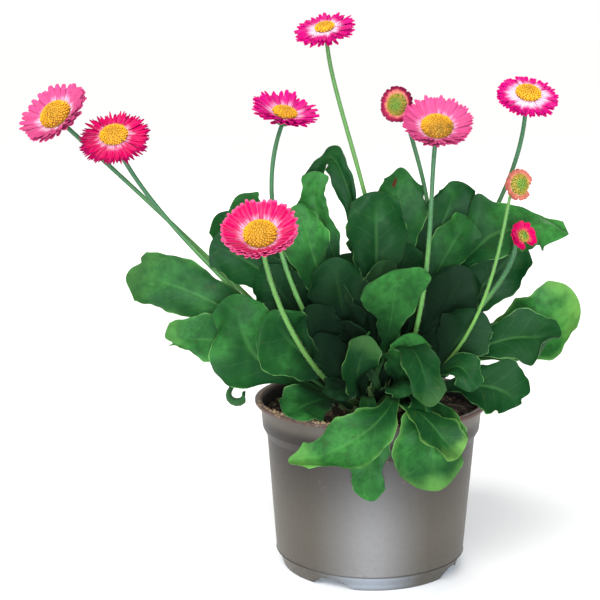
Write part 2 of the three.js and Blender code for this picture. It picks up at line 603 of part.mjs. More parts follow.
function assemble() {
  const plant = new THREE.Group();
  const mains = LEAVES.filter((blade) => !blade.small);
  const sockets = [...mains.map(petioleSocket), ...BLOOMS.map(stemSocket)];
  plant.add(piece('pot', potSolid(), COLOUR.plastic, 0.4));
  plant.add(piece('compost', compostSolid(sockets), COLOUR.compost, 0.95));
  plant.add(piece('crown', crownSolid(sockets), COLOUR.crown, 0.7));
  const blades = LEAVES.map((blade, i) => ({ name: blade.name, solid: leafSolid(blade, i + 1) }));
  for (const name of new Set(LEAVES.map((blade) => blade.name))) {
    const solids = blades.filter((blade) => blade.name === name).map((blade) => blade.solid);
    plant.add(piece(name, joined(solids), COLOUR.leaf, 0.55));
  }
  BLOOMS.forEach((flower, i) => {
    const discColour = flower.bud ? COLOUR.discGreen : COLOUR.disc;
    plant.add(piece(`${flower.name}_stem`, stemSolid(flower), COLOUR.stem, 0.6));
    plant.add(piece(`${flower.name}_petals`, petalsSolid(flower, 31 + i), flower.colour, 0.6));
    plant.add(piece(`${flower.name}_disc`, discSolid(flower, 71 + i), discColour, 0.8));
  });
  return plant;
}

export default assemble();
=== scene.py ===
"""Potted English daisy: fine petals, leaves, stems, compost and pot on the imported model."""

import math

import bpy
import numpy as np
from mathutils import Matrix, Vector


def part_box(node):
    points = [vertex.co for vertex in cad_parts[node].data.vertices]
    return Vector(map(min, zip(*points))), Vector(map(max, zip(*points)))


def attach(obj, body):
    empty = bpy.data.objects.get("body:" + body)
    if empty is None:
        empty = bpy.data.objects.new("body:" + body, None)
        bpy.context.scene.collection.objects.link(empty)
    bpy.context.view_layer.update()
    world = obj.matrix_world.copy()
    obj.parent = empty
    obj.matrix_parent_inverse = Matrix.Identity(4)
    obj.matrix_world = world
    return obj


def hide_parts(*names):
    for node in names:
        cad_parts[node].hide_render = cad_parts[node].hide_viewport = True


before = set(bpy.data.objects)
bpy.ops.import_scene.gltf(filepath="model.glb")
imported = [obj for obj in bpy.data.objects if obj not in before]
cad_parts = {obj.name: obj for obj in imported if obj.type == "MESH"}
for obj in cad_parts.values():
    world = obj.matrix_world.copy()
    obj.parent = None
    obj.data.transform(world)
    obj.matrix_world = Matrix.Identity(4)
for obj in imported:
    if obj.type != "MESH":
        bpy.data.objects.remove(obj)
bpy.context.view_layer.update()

bl_info = {
    "name": "Potted English Daisy",
    "version": (1, 0, 0),
    "blender": (4, 5, 0),
    "location": "View3D > Sidebar > Daisy",
    "description": "Builds the blooms, leaves, compost and nursery pot of an English daisy",
    "category": "Add Mesh",
}

MM = 0.001
GOLDEN = 2.39996  # radians from one part of a spiral to the next
POT_LOW, POT_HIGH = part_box("pot")
LIP_RADIUS = (POT_HIGH[0] - POT_LOW[0]) / 2
# A seed of chance for each kind of part, so that every run gives the same plant
SEEDS = {"crown": 5, "compost": 7, "leaves": 21, "petals": 100, "stems": 200, "discs": 300}


def colour(code):
    """A colour written as in a paint chart, rrggbb, as linear values."""
    shares = [int(code[i : i + 2], 16) / 255 for i in (0, 2, 4)]
    return tuple(c / 12.92 if c <= 0.04045 else ((c + 0.055) / 1.055) ** 2.4 for c in shares)


def dim(shades, share):
    """The same colour, darkened to a share of its light."""
    return tuple(c * share for c in shades)


def chances(kind, order=0):
    return np.random.default_rng(SEEDS[kind] + order)


# Sizes and colours that a user may change


def number(name, description, default, least=0, **more):
    return bpy.props.FloatProperty(
        name=name, description=description, default=default, min=least, **more
    )


def tally(name, description, default, least=0):
    return bpy.props.IntProperty(
        name=name, description=description, default=default, min=least
    )


def size(name, description, default):
    return number(name, description, default, unit="LENGTH", precision=5)


def paint(name, description, code):
    return bpy.props.FloatVectorProperty(
        name=name, description=description, default=colour(code), subtype="COLOR", min=0, max=1
    )


class PotSettings(bpy.types.PropertyGroup):
    lip_radius: size("Lip radius", "Outer radius of the lip", LIP_RADIUS)
    height: size("Height", "Height of the pot above the table", POT_HIGH[2])
    wall: size("Wall", "Thickness of the plastic wall", 1 * MM)
    plastic: paint("Plastic", "Colour of the wall seen at a slant", "625C52")
    # Painted highlight: the wall is painted this lighter colour where it faces the camera
    face_on_highlight: paint("Sheen", "Colour of the wall seen straight on", "73716F")
    lip: paint("Lip", "Colour of the soiled lip", "66463E")
    dust: paint("Dust", "Colour of dried compost on the plastic", "A08A6C")
    # Painted highlight: the foot band is painted this bluish light colour where it faces the camera
    foot: paint("Foot band", "Colour of the foot band seen straight on", "BCC8D6")


class CompostSettings(bpy.types.PropertyGroup):
    crumbs: tally("Crumbs", "How many loose crumbs lie on top", 620)
    crumb: size("Crumb size", "Usual width of a crumb", 1.7 * MM)
    peat: paint("Peat", "Colour of damp compost", "1C1612")
    bark: paint("Bark", "Colour of the dry crumbs and fibres", "6B5238")


class LeafSettings(bpy.types.PropertyGroup):
    thickness: size("Thickness", "Thickness of the blade", 0.75 * MM)
    scallop: size("Scallop", "Depth of the small teeth round the margin", 0.22 * MM)
    groove: size("Midrib groove", "Depth of the groove over the midrib", 0.35 * MM)
    hair: size("Hair", "Length of the hairs on the margin", 0.8 * MM)
    cool: paint("Shaded green", "Colour of the older, darker leaves", "0A3413")
    # Younger leaves, and leaves given painted light, get more of this green
    fresh: paint("Fresh green", "Colour of the younger leaves", "347430")
    margin: paint("Dark margin", "Colour of the dark stretches of the rim", "1B241B")
    rim: paint("Pale margin", "Colour of the pale stretches of the rim", "6E9C58")
    rib: paint("Midrib", "Colour of the midrib and petiole", "4E8440")
    shade: paint("Deep shade", "Colour of the leaves low between the others", "041608")


class StemSettings(bpy.types.PropertyGroup):
    radius: size("Radius", "Radius of a flower stem", 1.05 * MM)
    hair: size("Hair", "Length of the hairs on a stem", 0.55 * MM)
    low: paint("Foot", "Colour of the lower stem", "588C3C")
    high: paint("Top", "Colour of the upper stem", "2E5C38")
    bract: paint("Bracts", "Colour of the cup under a bloom", "2F6430")


class PetalSettings(bpy.types.PropertyGroup):
    width: number("Width", "Share of the usual width of a petal", 1, 0.1)
    thickness: size("Thickness", "Thickness of one petal", 0.28 * MM)
    magenta: paint("Magenta", "Colour of the deep blooms", "C0004E")
    rose: paint("Rose", "Colour of the bluer deep blooms", "C60A70")
    pink: paint("Pink", "Colour of the lighter blooms", "C44678")
    wine: paint("Wine", "Colour of the dark bud", "8C1038")
    salmon: paint("Salmon", "Colour of the salmon bud", "B86A54")
    base: paint("Base", "Colour at the foot of a petal", "F0D0E0")


class DiscSettings(bpy.types.PropertyGroup):
    florets: tally("Florets", "How many florets a full disc has", 240, 20)
    gold: paint("Gold", "Colour of the open florets", "F6AE1C")
    olive: paint("Olive", "Colour of the closed florets", "D89A22")
    # Painted shade low between the florets
    depth: paint("Depth", "Colour low between the florets", "84590C")


class StageSettings(bpy.types.PropertyGroup):
    floor: paint("Floor", "Colour of the floor", "F8F8F8")
    room: number("Room light", "Strength of the even light all round", 0.36)
    sky: number("Overhead light", "Strength of the wide light from above", 3.1)
    front: number("Front light", "Power of the tall soft light by the camera", 38)
    back: number("Back light", "Power of the wide soft light behind the plant", 16)
    lens: number("Lens", "Focal length of the camera", 88.56, 1, unit="CAMERA")


# Node maths


class Value:
    """What a node's output gives over the surface. Arithmetic on it adds Math nodes."""

    def __init__(self, finish, socket):
        self.finish = finish
        self.socket = socket

    def __add__(self, other):
        return self.finish.math("ADD", self, other)

    def __sub__(self, other):
        return self.finish.math("SUBTRACT", self, other)

    def __rsub__(self, other):
        return self.finish.math("SUBTRACT", other, self)

    def __mul__(self, other):
        return self.finish.math("MULTIPLY", self, other)

    __radd__ = __add__
    __rmul__ = __mul__


class Finish:
    """A material made of nodes, which ends in one shader.

    Its methods take a colour as a Value, a paint code or a colour of the settings.
    """

    def __init__(self, name, constants):
        self.material = bpy.data.materials.new(name)
        self.material.use_nodes = True
        self.nodes = self.material.node_tree.nodes
        self.shader = self.nodes["Principled BSDF"]
        for socket, value in constants.items():
            self.shader.inputs[socket].default_value = value

    def put(self, socket, value):
        if isinstance(value, Value):
            self.material.node_tree.links.new(value.socket, socket)
        else:
            socket.default_value = value

    def node(self, kind, settings, sockets, output=0):
        node = self.nodes.new("ShaderNode" + kind)
        for key, value in settings.items():
            setattr(node, key, value)
        for key, value in sockets.items():
            self.put(node.inputs[key], value)
        return Value(self, node.outputs[output])

    def math(self, operation, first, second=0.0):
        return self.node("Math", {"operation": operation}, {0: first, 1: second})

    def place(self):
        """The point on the object, in metres."""
        return self.node("TexCoord", {}, {}, "Object")

    def stretched(self, place, scale):
        return self.node("Mapping", {}, {"Vector": place, "Scale": scale})

    def from_axis(self, place):
        """How far a point is from the upright axis, in metres."""
        level = self.stretched(place, (1, 1, 0))
        return self.node("VectorMath", {"operation": "LENGTH"}, {0: level}, "Value")

    def noise(self, place, scale, detail=2.0, roughness=0.5):
        sockets = {"Vector": place, "Scale": scale, "Detail": detail, "Roughness": roughness}
        return self.node("TexNoise", {}, sockets)

    def axis(self, place, letter):
        return self.node("SeparateXYZ", {}, {0: place}, letter)

    def strip(self):
        """How far a point is across a strip, from -1 to 1, and along it, from 0 to 1."""
        spot = self.node("TexCoord", {}, {}, "UV")
        return self.axis(spot, "X") * 2 - 1, self.axis(spot, "Y")

    def mark(self, name):
        """A number that the mesh keeps at each point."""
        return self.node("Attribute", {"attribute_name": name}, {}, "Fac")

    def fade(self, value, low, high):
        """Rises smoothly from 0 at low to 1 at high."""
        sockets = {"Value": value, "From Min": low, "From Max": high}
        return self.node("MapRange", {"interpolation_type": "SMOOTHSTEP"}, sockets)

    def mix(self, factor, *shades):
        first, second = (c if isinstance(c, Value) else self.solid(c) for c in shades)
        return self.node("Mix", {"data_type": "RGBA"}, {0: factor, 6: first, 7: second}, 2)

    def solid(self, shade):
        return (*(colour(shade) if isinstance(shade, str) else shade), 1)

    def coats(self, base, *layers):
        """Paints over a base. Each coat has its cover, from 0 to 1, and its colour."""
        for cover, shade in layers:
            base = self.mix(cover, base, shade)
        return base

    def bump(self, height, distance, strength=1.0, below=None):
        sockets = {"Height": height, "Distance": distance, "Strength": strength}
        if below:
            sockets["Normal"] = below
        return self.node("Bump", {}, sockets)

    def finish(self, **ends):
        """Links what varies to the shader: base, roughness or normal."""
        names = {"base": "Base Color", "roughness": "Roughness", "normal": "Normal"}
        for key, value in ends.items():
            self.put(self.shader.inputs[names[key]], value)
        return self.material


# Mesh helpers


def smooth(x):
    x = np.clip(x, 0, 1)
    return x * x * (3 - 2 * x)


def unit(v):
    return v / np.linalg.norm(v, axis=-1, keepdims=True)


def dots(a, b):
    return np.sum(a * b, axis=-1, keepdims=True)


def bezier(points, t):
    """Points of a cubic curve with four control points."""
    a, b, c, d = points
    t = np.asarray(t, float)[..., None]
    r = 1 - t
    return r**3 * a + 3 * r * r * t * b + 3 * r * t * t * c + t**3 * d


def heading(points, t):
    """The way that the same curve runs."""
    a, b, c, d = points
    t = np.clip(np.asarray(t, float), 0, 1)[..., None]
    r = 1 - t
    return unit(r * r * (b - a) + 2 * r * t * (c - b) + t * t * (d - c))


def around(radius, turn, height):
    """The point at a radius, a turn in radians and a height."""
    return np.array((radius * math.cos(turn), radius * math.sin(turn), height))


def aim(direction):
    return unit(np.array(direction, float))


def between(limits, share):
    return limits[0] + (limits[1] - limits[0]) * share


def let_go():
    """Deselects everything, because an operator acts on all that is selected."""
    bpy.ops.object.select_all(action="DESELECT")


def pick(piece):
    """Makes one piece the only selected one."""
    let_go()
    piece.select_set(True)
    bpy.context.view_layer.objects.active = piece


def edit(piece, *steps):
    """Runs edit mode steps on all of a piece. Each step is an operator and its settings."""
    pick(piece)
    bpy.ops.object.mode_set(mode="EDIT")
    bpy.ops.mesh.select_all(action="SELECT")
    for step, settings in steps:
        step(**settings)
    bpy.ops.object.mode_set(mode="OBJECT")


def face_outward(piece):
    edit(piece, (bpy.ops.mesh.normals_make_consistent, {"inside": False}))


def apply(piece, kind, **settings):
    """Adds a modifier with its settings and applies it."""
    modifier = piece.modifiers.new(kind.title(), kind)
    for key, value in settings.items():
        setattr(modifier, key, value)
    pick(piece)
    bpy.ops.object.modifier_apply(modifier=modifier.name)


def soften(piece, degrees):
    pick(piece)
    bpy.ops.object.shade_smooth_by_angle(angle=math.radians(degrees))


def points_of(piece):
    co = np.zeros(len(piece.data.vertices) * 3)
    piece.data.vertices.foreach_get("co", co)
    return co.reshape(-1, 3)


def move_points(piece, points):
    piece.data.vertices.foreach_set("co", np.asarray(points, float).ravel())
    piece.data.update()


def keep_mark(piece, name, values):
    """Keeps a number at each point of the mesh, for the material to read."""
    mark = piece.data.attributes.new(name, "FLOAT", "POINT")
    mark.data.foreach_set("value", np.broadcast_to(values, len(piece.data.vertices)).astype("f"))


def put_in_scene(name, mesh):
    piece = bpy.data.objects.new(name, mesh)
    bpy.context.scene.collection.objects.link(piece)
    return piece


class Pattern:
    """A small closed shape that is modelled once and kept as arrays, to be copied and bent."""

    def __init__(self, piece):
        self.points = points_of(piece)
        self.faces = [tuple(face.vertices) for face in piece.data.polygons]
        layer = piece.data.uv_layers.active
        flat = np.zeros(len(piece.data.loops) * 2)
        if layer:
            layer.data.foreach_get("uv", flat)
        self.uv = flat.reshape(-1, 2)
        bpy.data.objects.remove(piece)


class Sheaf:
    """Collects bent copies of patterns in millimetres, and makes one mesh of them."""

    def __init__(self):
        self.points = []
        self.faces = []
        self.uv = []
        self.marks = []
        self.count = 0

    def add(self, pattern, points, **marks):
        self.faces += [tuple(i + self.count for i in face) for face in pattern.faces]
        self.points.append(points)
        self.uv.append(pattern.uv)
        self.marks.append((len(points), marks))
        self.count += len(points)

    def tie(self, name):
        mesh = bpy.data.meshes.new(name)
        mesh.from_pydata((np.vstack(self.points) * MM).tolist(), [], self.faces)
        mesh.uv_layers.new(name="Strip").data.foreach_set("uv", np.vstack(self.uv).ravel())
        piece = put_in_scene(name, mesh)
        for key in sorted({key for _, marks in self.marks for key in marks}):
            columns = [np.broadcast_to(marks.get(key, 0), count) for count, marks in self.marks]
            keep_mark(piece, key, np.concatenate(columns))
        face_outward(piece)
        return piece


def strip(rows, columns):
    """A closed strip: x runs across from -1 to 1, y along from 0 to 1, z through it."""
    let_go()
    bpy.ops.mesh.primitive_grid_add(x_subdivisions=columns, y_subdivisions=rows, size=2)
    piece = bpy.context.object
    apply(piece, "SOLIDIFY", thickness=1, offset=0)
    pattern = Pattern(piece)
    pattern.points[:, 1] = (pattern.points[:, 1] + 1) / 2
    return pattern


def spike():
    """A hair: a cone of three sides that stands on the origin."""
    let_go()
    bpy.ops.mesh.primitive_cone_add(vertices=3, radius1=1, depth=1, location=(0, 0, 0.5))
    bpy.ops.object.transform_apply()
    return Pattern(bpy.context.object)


def turned(name, profile, steps):
    """Spins an outline of radius and height in millimetres, from axis to axis, round Z."""
    mesh = bpy.data.meshes.new(name)
    corners = [(r * MM, 0, z * MM) for r, z in profile]
    mesh.from_pydata(corners, [(i, i + 1) for i in range(len(corners) - 1)], [])
    piece = put_in_scene(name, mesh)
    turn = {"steps": steps, "angle": math.tau, "center": (0, 0, 0), "axis": (0, 0, 1)}
    edit(
        piece,
        (bpy.ops.mesh.spin, turn),
        (bpy.ops.mesh.select_all, {"action": "SELECT"}),
        (bpy.ops.mesh.remove_doubles, {"threshold": 1e-6}),
        (bpy.ops.mesh.normals_make_consistent, {"inside": False}),
    )
    return piece


def rounded(profile, radius, steps=4):
    """The same outline with every corner between its ends rounded off."""
    corners = [np.array(p, float) for p in profile]
    path = [corners[0]]
    for before, corner, after in zip(corners, corners[1:], corners[2:]):
        sides = [np.linalg.norm(end - corner) / 2.2 for end in (before, after)]
        reach = min(radius, *sides)
        start = corner + unit(before - corner) * reach
        end = corner + unit(after - corner) * reach
        for i in range(steps + 1):
            t = i / steps
            path.append((1 - t) ** 2 * start + 2 * t * (1 - t) * corner + t * t * end)
    path.append(corners[-1])
    return path


def joined(piece, *others):
    pick(piece)
    for other in others:
        other.select_set(True)
    bpy.ops.object.join()
    return piece


def dress(piece, material, slot, *nodes):
    """Gives a piece its finish, and lets it stand for CAD nodes."""
    piece.data.materials.clear()
    piece.data.materials.append(material)
    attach(piece, "root")
    if nodes:
        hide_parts(*nodes)


# Pot, with its radii and heights in millimetres from its axis and the table

FOOT = {"floor": 26, "inner": 27, "outer": 35.5, "rise": 3.4, "stand": 37.6, "radius": 39.6}
FOOT_BAND = [(40.4, 2.6), (41.3, 5.2), (41.8, 6.9), (43.1, 7.2)]
LEDGE = (42.8, 7.5)
SHOULDER = (47, 60.7)
STEP = (47.9, 62.6)
COLLAR = (49, 64.6)
COLLAR_TOP = 50
LIP_DEPTH = 1.8
INSIDE_HEIGHTS = (65.1, 61.2, 8)
INSIDE_FLOOR = [(38.1, 4.6), (26.5, 4.6), (25, 1.2), (0, 1.2)]
POT_EDGE = 0.55
NOTCHES = {"count": 4, "first": -27, "height": 4, "low": 23.5, "high": 9, "depth": 14, "edge": 0.4}
DRAIN = {"radius": 3.2, "ring": 31.2, "length": 8}
# The heights between which each kind of soil, painted shade and painted highlight comes in on the
# plastic
ZONES = {
    "lip": (74.6, 75.6),
    "crust": (74.2, 76),
    "inside": (20, 70),
    "grime": (14, 0),
    "foot": (6.8, 6),
    "over_foot": (6.2, 6.9),
    "under_wall": (7.9, 7.3),
}
# Radii inside which painted shade darkens the plastic toward the top
INSIDE_RADIUS = (49.7, 49.2)
# How far toward the front left the crust on the lip begins and is full
CRUSTED_SIDE = (20, 60)
STREAK_GREY = "7C7570"
# Painted shade on the plastic nearer the axis than the rim
PAINTED_SHADE_UNDER_RIM = "211915"
GRIME = "3E3832"
# Painted shade in the step over the foot band
LEDGE_PAINTED_SHADE = "1E1B18"


def pot_outline(settings):
    lip = settings.lip_radius / MM
    high = settings.height / MM
    wall = settings.wall / MM
    under = high - LIP_DEPTH
    outside = [
        (0, 0),
        (FOOT["floor"], 0),
        (FOOT["inner"], FOOT["rise"]),
        (FOOT["outer"], FOOT["rise"]),
        (FOOT["stand"], 0),
        (FOOT["radius"], 0),
        *FOOT_BAND,
        LEDGE,
        SHOULDER,
        STEP,
        COLLAR,
        (COLLAR_TOP, under),
        (lip, under),
        (lip, high),
        (COLLAR_TOP, high),
    ]
    down = zip((COLLAR, SHOULDER, LEDGE), INSIDE_HEIGHTS)
    inside = [(corner[0] - wall, height) for corner, height in down]
    return rounded([*outside, (COLLAR_TOP - wall, under), *inside, *INSIDE_FLOOR], POT_EDGE)


def notch_cutter(angle):
    """A wedge across the foot, wider at the table."""
    let_go()
    bpy.ops.mesh.primitive_cube_add(size=1)
    cutter = bpy.context.object
    points = points_of(cutter)
    low = points[:, 2] < 0
    points[:, 0] *= np.where(low, NOTCHES["low"], NOTCHES["high"])
    points[:, 1] = points[:, 1] * NOTCHES["depth"] - FOOT["radius"]
    points[:, 2] = np.where(low, -1, NOTCHES["height"])
    move_points(cutter, points * MM)
    cutter.rotation_euler.z = math.radians(angle)
    apply(cutter, "BEVEL", width=NOTCHES["edge"] * MM, segments=2)
    return cutter


def drain_cutter(angle):
    let_go()
    turn = math.radians(angle)
    ring = DRAIN["ring"] * MM
    length = DRAIN["length"] * MM
    bpy.ops.mesh.primitive_cylinder_add(
        vertices=24,
        radius=DRAIN["radius"] * MM,
        depth=length,
        location=(ring * math.sin(turn), -ring * math.cos(turn), length / 2),
    )
    return bpy.context.object


def carve(piece, cutter):
    apply(piece, "BOOLEAN", operation="DIFFERENCE", solver="EXACT", object=cutter)
    bpy.data.objects.remove(cutter)


def plastic_finish(settings):
    """Taupe plastic, lighter face on as a painted highlight, with painted shade under the rim and in
    the step over the foot, and soil on its lip and low down.
    """
    pot = Finish("taupe_plastic", {"Metallic": 1.0, "Coat Weight": 0.7, "Coat Roughness": 0.55})
    place = pot.place()
    height = pot.axis(place, "Z")
    zone = {name: pot.fade(height, low * MM, high * MM) for name, (low, high) in ZONES.items()}
    slant = pot.node("LayerWeight", {}, {"Blend": 0.5}, "Facing")
    clouds = pot.noise(place, 38, 3)
    streaks = pot.noise(pot.stretched(place, (1, 1, 0.12)), 260, 3)
    grain = pot.noise(place, 2600, 2)
    soil = pot.fade(pot.noise(place, 420, 4, 0.65), 0.5, 0.62)
    splash = pot.fade(pot.noise(place, 700, 2, 0.6), 0.7, 0.74)
    rings = pot.noise(pot.stretched(place, (0.02, 0.02, 1)), 1400, 1)
    within = pot.fade(pot.from_axis(place), *(radius * MM for radius in INSIDE_RADIUS))
    left = pot.axis(place, "X") * -1 - pot.axis(place, "Y")
    crust = soil * pot.fade(left, *(far * MM for far in CRUSTED_SIDE)) * zone["crust"]
    base = pot.coats(
        settings.plastic,
        (clouds, dim(settings.plastic, 0.85)),
        # Painted highlight down the middle of the wall, where it faces the camera
        (pot.fade(slant, 0.3, 0.03), settings.face_on_highlight),
        (streaks * 0.12, STREAK_GREY),
        (zone["lip"] * (0.7 + soil * 0.3), settings.lip),
        # Painted shade: the plastic nearer the axis than the rim darkens toward the top, on the inner
        # wall and on the wall under the collar
        (within * zone["inside"] * 0.9, PAINTED_SHADE_UNDER_RIM),
        (crust * 0.7, settings.dust),
        (splash * 0.35, settings.dust),
        (zone["grime"] * soil * 0.35, GRIME),
        # Painted highlight on the foot band, where it faces the camera
        (zone["foot"] * pot.fade(slant, 0.42, 0.04), settings.foot),
        # Painted shade in the step between the foot band and the wall
        (zone["over_foot"] * zone["under_wall"] * 0.6, LEDGE_PAINTED_SHADE),
    )
    rough = 0.53 + clouds * 0.06 + zone["lip"] * 0.22 + soil * 0.05 + splash * 0.2
    relief = pot.bump(rings, 0.04 * MM)
    relief = pot.bump(grain * 0.25 + streaks * 0.3, 0.05 * MM, 0.5, relief)
    relief = pot.bump(crust, 0.4 * MM, 1.0, relief)
    return pot.finish(base=base, roughness=rough, normal=relief)


class MakePot(bpy.types.Operator):
    """Turns the thin pot and cuts its notches and drain holes"""

    bl_idname = "daisy.pot"
    bl_label = "Pot"

    def execute(self, context):
        settings = context.scene.daisy_pot
        pot = turned("nursery_pot", pot_outline(settings), 160)
        for i in range(NOTCHES["count"]):
            angle = NOTCHES["first"] + i * 360 / NOTCHES["count"]
            carve(pot, notch_cutter(angle))
            carve(pot, drain_cutter(angle))
        soften(pot, 35)
        dress(pot, plastic_finish(settings), "plastic", "pot")
        return {"FINISHED"}


# Compost and crumbs, in millimetres

SURFACE = (70.5, 73.5)
BED_EDGE = 47.9
BED_WALL = [(0, 5), (38, 5), (41.4, 8.4), (45.6, 61.6), (47.6, 65.6)]
BED_RINGS = {"count": 26, "to_full_height": 20, "drop": 1.5}
# What the height of each swell is divided by, and how close its waves are
SWELLS = ((1.6, 0.35), (2, 0.7), (2.6, 1.3), (3, 2.1))
FIBRES = 60
LIP_CRUMBS = {"count": 340, "middle": 236, "spread": 20, "ring": (49.6, 52.1), "height": 77.3}
PEAT_LUMPS = "33261C"
DRY_GRAINS = "BCA480"


def crumb_pattern():
    let_go()
    bpy.ops.mesh.primitive_ico_sphere_add(subdivisions=1, radius=0.5)
    return Pattern(bpy.context.object)


def fibre_pattern():
    let_go()
    bpy.ops.mesh.primitive_cylinder_add(vertices=4, radius=0.5, depth=1)
    return Pattern(bpy.context.object)


def turn_to(direction, spin=0.0):
    """The matrix that turns +Z to a direction, after a spin about Z."""
    turn = Vector((0, 0, 1)).rotation_difference(Vector(direction)).to_matrix()
    c, s = math.cos(spin), math.sin(spin)
    return np.array(turn) @ np.array([[c, -s, 0], [s, c, 0], [0, 0, 1]])


def scatter_crumb(sheaf, pattern, chance, at, width, dryness):
    """Adds one crumb with its own shape and turn."""
    scale = width * (0.6 + 0.9 * chance.random(3))
    direction = chance.normal(size=3)
    rough = 1 + 0.35 * (chance.random((len(pattern.points), 1)) - 0.5)
    points = (pattern.points * rough * scale) @ turn_to(direction).T + at
    sheaf.add(pattern, points, dry=dryness)


def compost_finish(settings):
    peat = Finish("compost", {"Specular IOR Level": 0.2})
    place = peat.place()
    lumps = peat.noise(place, 500, 5, 0.7)
    grains = peat.noise(place, 2200, 3, 0.6)
    dried = peat.mix(grains, settings.bark, DRY_GRAINS)
    base = peat.coats(settings.peat, (lumps, PEAT_LUMPS), (peat.mark("dry"), dried))
    relief = peat.bump(lumps + grains * 0.4, 0.5 * MM)
    return peat.finish(base=base, roughness=0.8 + grains * 0.15, normal=relief)


def compost_bed(chance):
    """The body of compost, with a low mound and a lumpy surface."""
    count = BED_RINGS["count"]
    rings = [(BED_EDGE * (1 - i / count), between(SURFACE, smooth(i / BED_RINGS["to_full_height"])))
             for i in range(count + 1)]
    foot = (BED_EDGE, SURFACE[0] - BED_RINGS["drop"])
    bed = turned("compost_bed", [*BED_WALL, foot, *rings], 150)
    points = points_of(bed) / MM
    top = points[:, 2] > SURFACE[0] - 0.2
    bumps = sum(
        np.sin(points @ chance.normal(size=3) * pitch + chance.random() * 6) / share
        for share, pitch in SWELLS
    )
    points[top, 2] += bumps[top] * 0.75 + chance.normal(size=top.sum()) * 0.22
    move_points(bed, points * MM)
    keep_mark(bed, "dry", 0.0)
    return bed


def bed_spot(chance, inner, outer):
    """How far out a spot on the compost is, and its turn. The cover is even."""
    return BED_EDGE * math.sqrt(chance.uniform(inner, outer)), chance.uniform(0, math.tau)


def add_fibre(sheaf, fibre, chance):
    """Lays one thin fibre nearly flat on the compost."""
    out, turn = bed_spot(chance, 0.2, 0.92)
    flat = turn_to((*chance.normal(size=2), 0.15 * chance.normal()))
    points = (fibre.points * (0.3, 0.3, chance.uniform(3, 8))) @ flat.T
    at = around(out, turn, SURFACE[1] - 1.2 * out / BED_EDGE)
    sheaf.add(fibre, points + at, dry=chance.uniform(0.1, 0.65))


class FillPot(bpy.types.Operator):
    """Fills the pot with crumbly compost and lays dry crumbs on the lip"""

    bl_idname = "daisy.compost"
    bl_label = "Compost"

    def execute(self, context):
        settings = context.scene.daisy_compost
        chance = chances("compost")
        finish = compost_finish(settings)
        bed = compost_bed(chance)
        sheaf = Sheaf()
        lump, fibre = crumb_pattern(), fibre_pattern()
        for _ in range(settings.crumbs):
            out, turn = bed_spot(chance, 0.08, 0.98)
            at = around(out, turn, between(SURFACE, smooth(1 - out / BED_EDGE)) + 0.3)
            width = settings.crumb / MM * chance.uniform(0.4, 1.5)
            scatter_crumb(sheaf, lump, chance, at, width, chance.random() ** 3 * 0.55)
        for _ in range(FIBRES):
            add_fibre(sheaf, fibre, chance)
        bed = joined(bed, sheaf.tie("crumbs"))
        soften(bed, 50)
        dress(bed, finish, "compost", "compost")

        lip = Sheaf()
        for _ in range(LIP_CRUMBS["count"]):
            turn = math.radians(chance.normal(LIP_CRUMBS["middle"], LIP_CRUMBS["spread"]))
            at = around(chance.uniform(*LIP_CRUMBS["ring"]), turn, LIP_CRUMBS["height"])
            scatter_crumb(lip, lump, chance, at, chance.uniform(0.3, 1.25), chance.uniform(0.3, 1))
        crumbs = lip.tie("lip_crumbs")
        soften(crumbs, 40)
        dress(crumbs, finish, "compost")
        return {"FINISHED"}


# Leaves, in millimetres

# Widths and thickness, and the shares of a blade's length at which they change
LEAF = {"petiole": 2.8, "slim": 0.7, "wing": 1.3, "neck": 0.38, "widest": 0.62, "close": 0.2,
        "blunt_from": 0.8, "blunt": 0.14, "stalk": 1.7}
# Heights of the margin's teeth, cup and wave, and how many of them there are
LEAF_EDGE = {"round": 0.5, "teeth": 3, "tooth": 0.9, "scallops": 52, "cup": 0.16, "wave": 0.08,
             "ripples": 9, "shift": 1.9}
LOBES = {"broad": 7.5, "fine": 13, "shift": 2.3}
QUILT = {"height": 0.22, "rows": 17, "slant": 5}
# The heights of the broad and the fine hollows in a blade
DISH = (0.8, 0.35)
# Rings on the crown, each a radius and a height, that leaves and stems grow from
OUTER, MIDDLE, INNER = (13.2, 74), (8.4, 76.5), (3.8, 78)
OUTER_STEM, INNER_STEM = (10.9, 75.5), (6.2, 77.5)
FRONT, FRONT_UP, UP = (0, -0.95, 0.3), (0, -0.7, 0.7), (0, 0, 1)
# How far along the stalk a smaller blade forks from it
FORK = 0.12
# How far a brown spot reaches along and across its blade
SPOT = (0.035, 0.12)
FLECK_GREEN = "0F3A17"
FLECK_BROWN = "4A4420"
GILT_AND_LIT_GREEN = "74A44C"
UNDER_GREEN = "4F7A4A"
SPOT_BROWN = "421C10"


def root_on(ring, azimuth):
    return around(ring[0], math.radians(azimuth), ring[1])


def leaf(name, ring, azimuth, first, second, tip, width, face, small=False, **look):
    """A leaf's spine runs from its root on the crown through two handles to its tip.

    Each of its bends pulls one spot of the blade: how far along and across it lies, how far the
    pull reaches along and across, and the pull in millimetres to the right, back and up. Fresh
    runs from below 0, for a leaf darkened with painted shade, to 1 for a young one, and is partly
    the lighter green of young leaves and partly painted light. Gilt is how pale its rim and tip
    are, partly the leaf's own pale margin and partly painted light. Wild is how uneven its
    outline is, and crumple how deep its hollows are.
    """
    spine = np.array([root_on(ring, azimuth), first, second, tip], float)
    usual = {"widest": LEAF["widest"], "bends": (), "fresh": 0.4, "gilt": 0.0, "spot": None,
             "wild": 0.025, "crumple": 1.0, "rolled": None}
    return {"name": name, "spine": spine, "width": width, "face": aim(face), "small": small,
            **usual, **look}


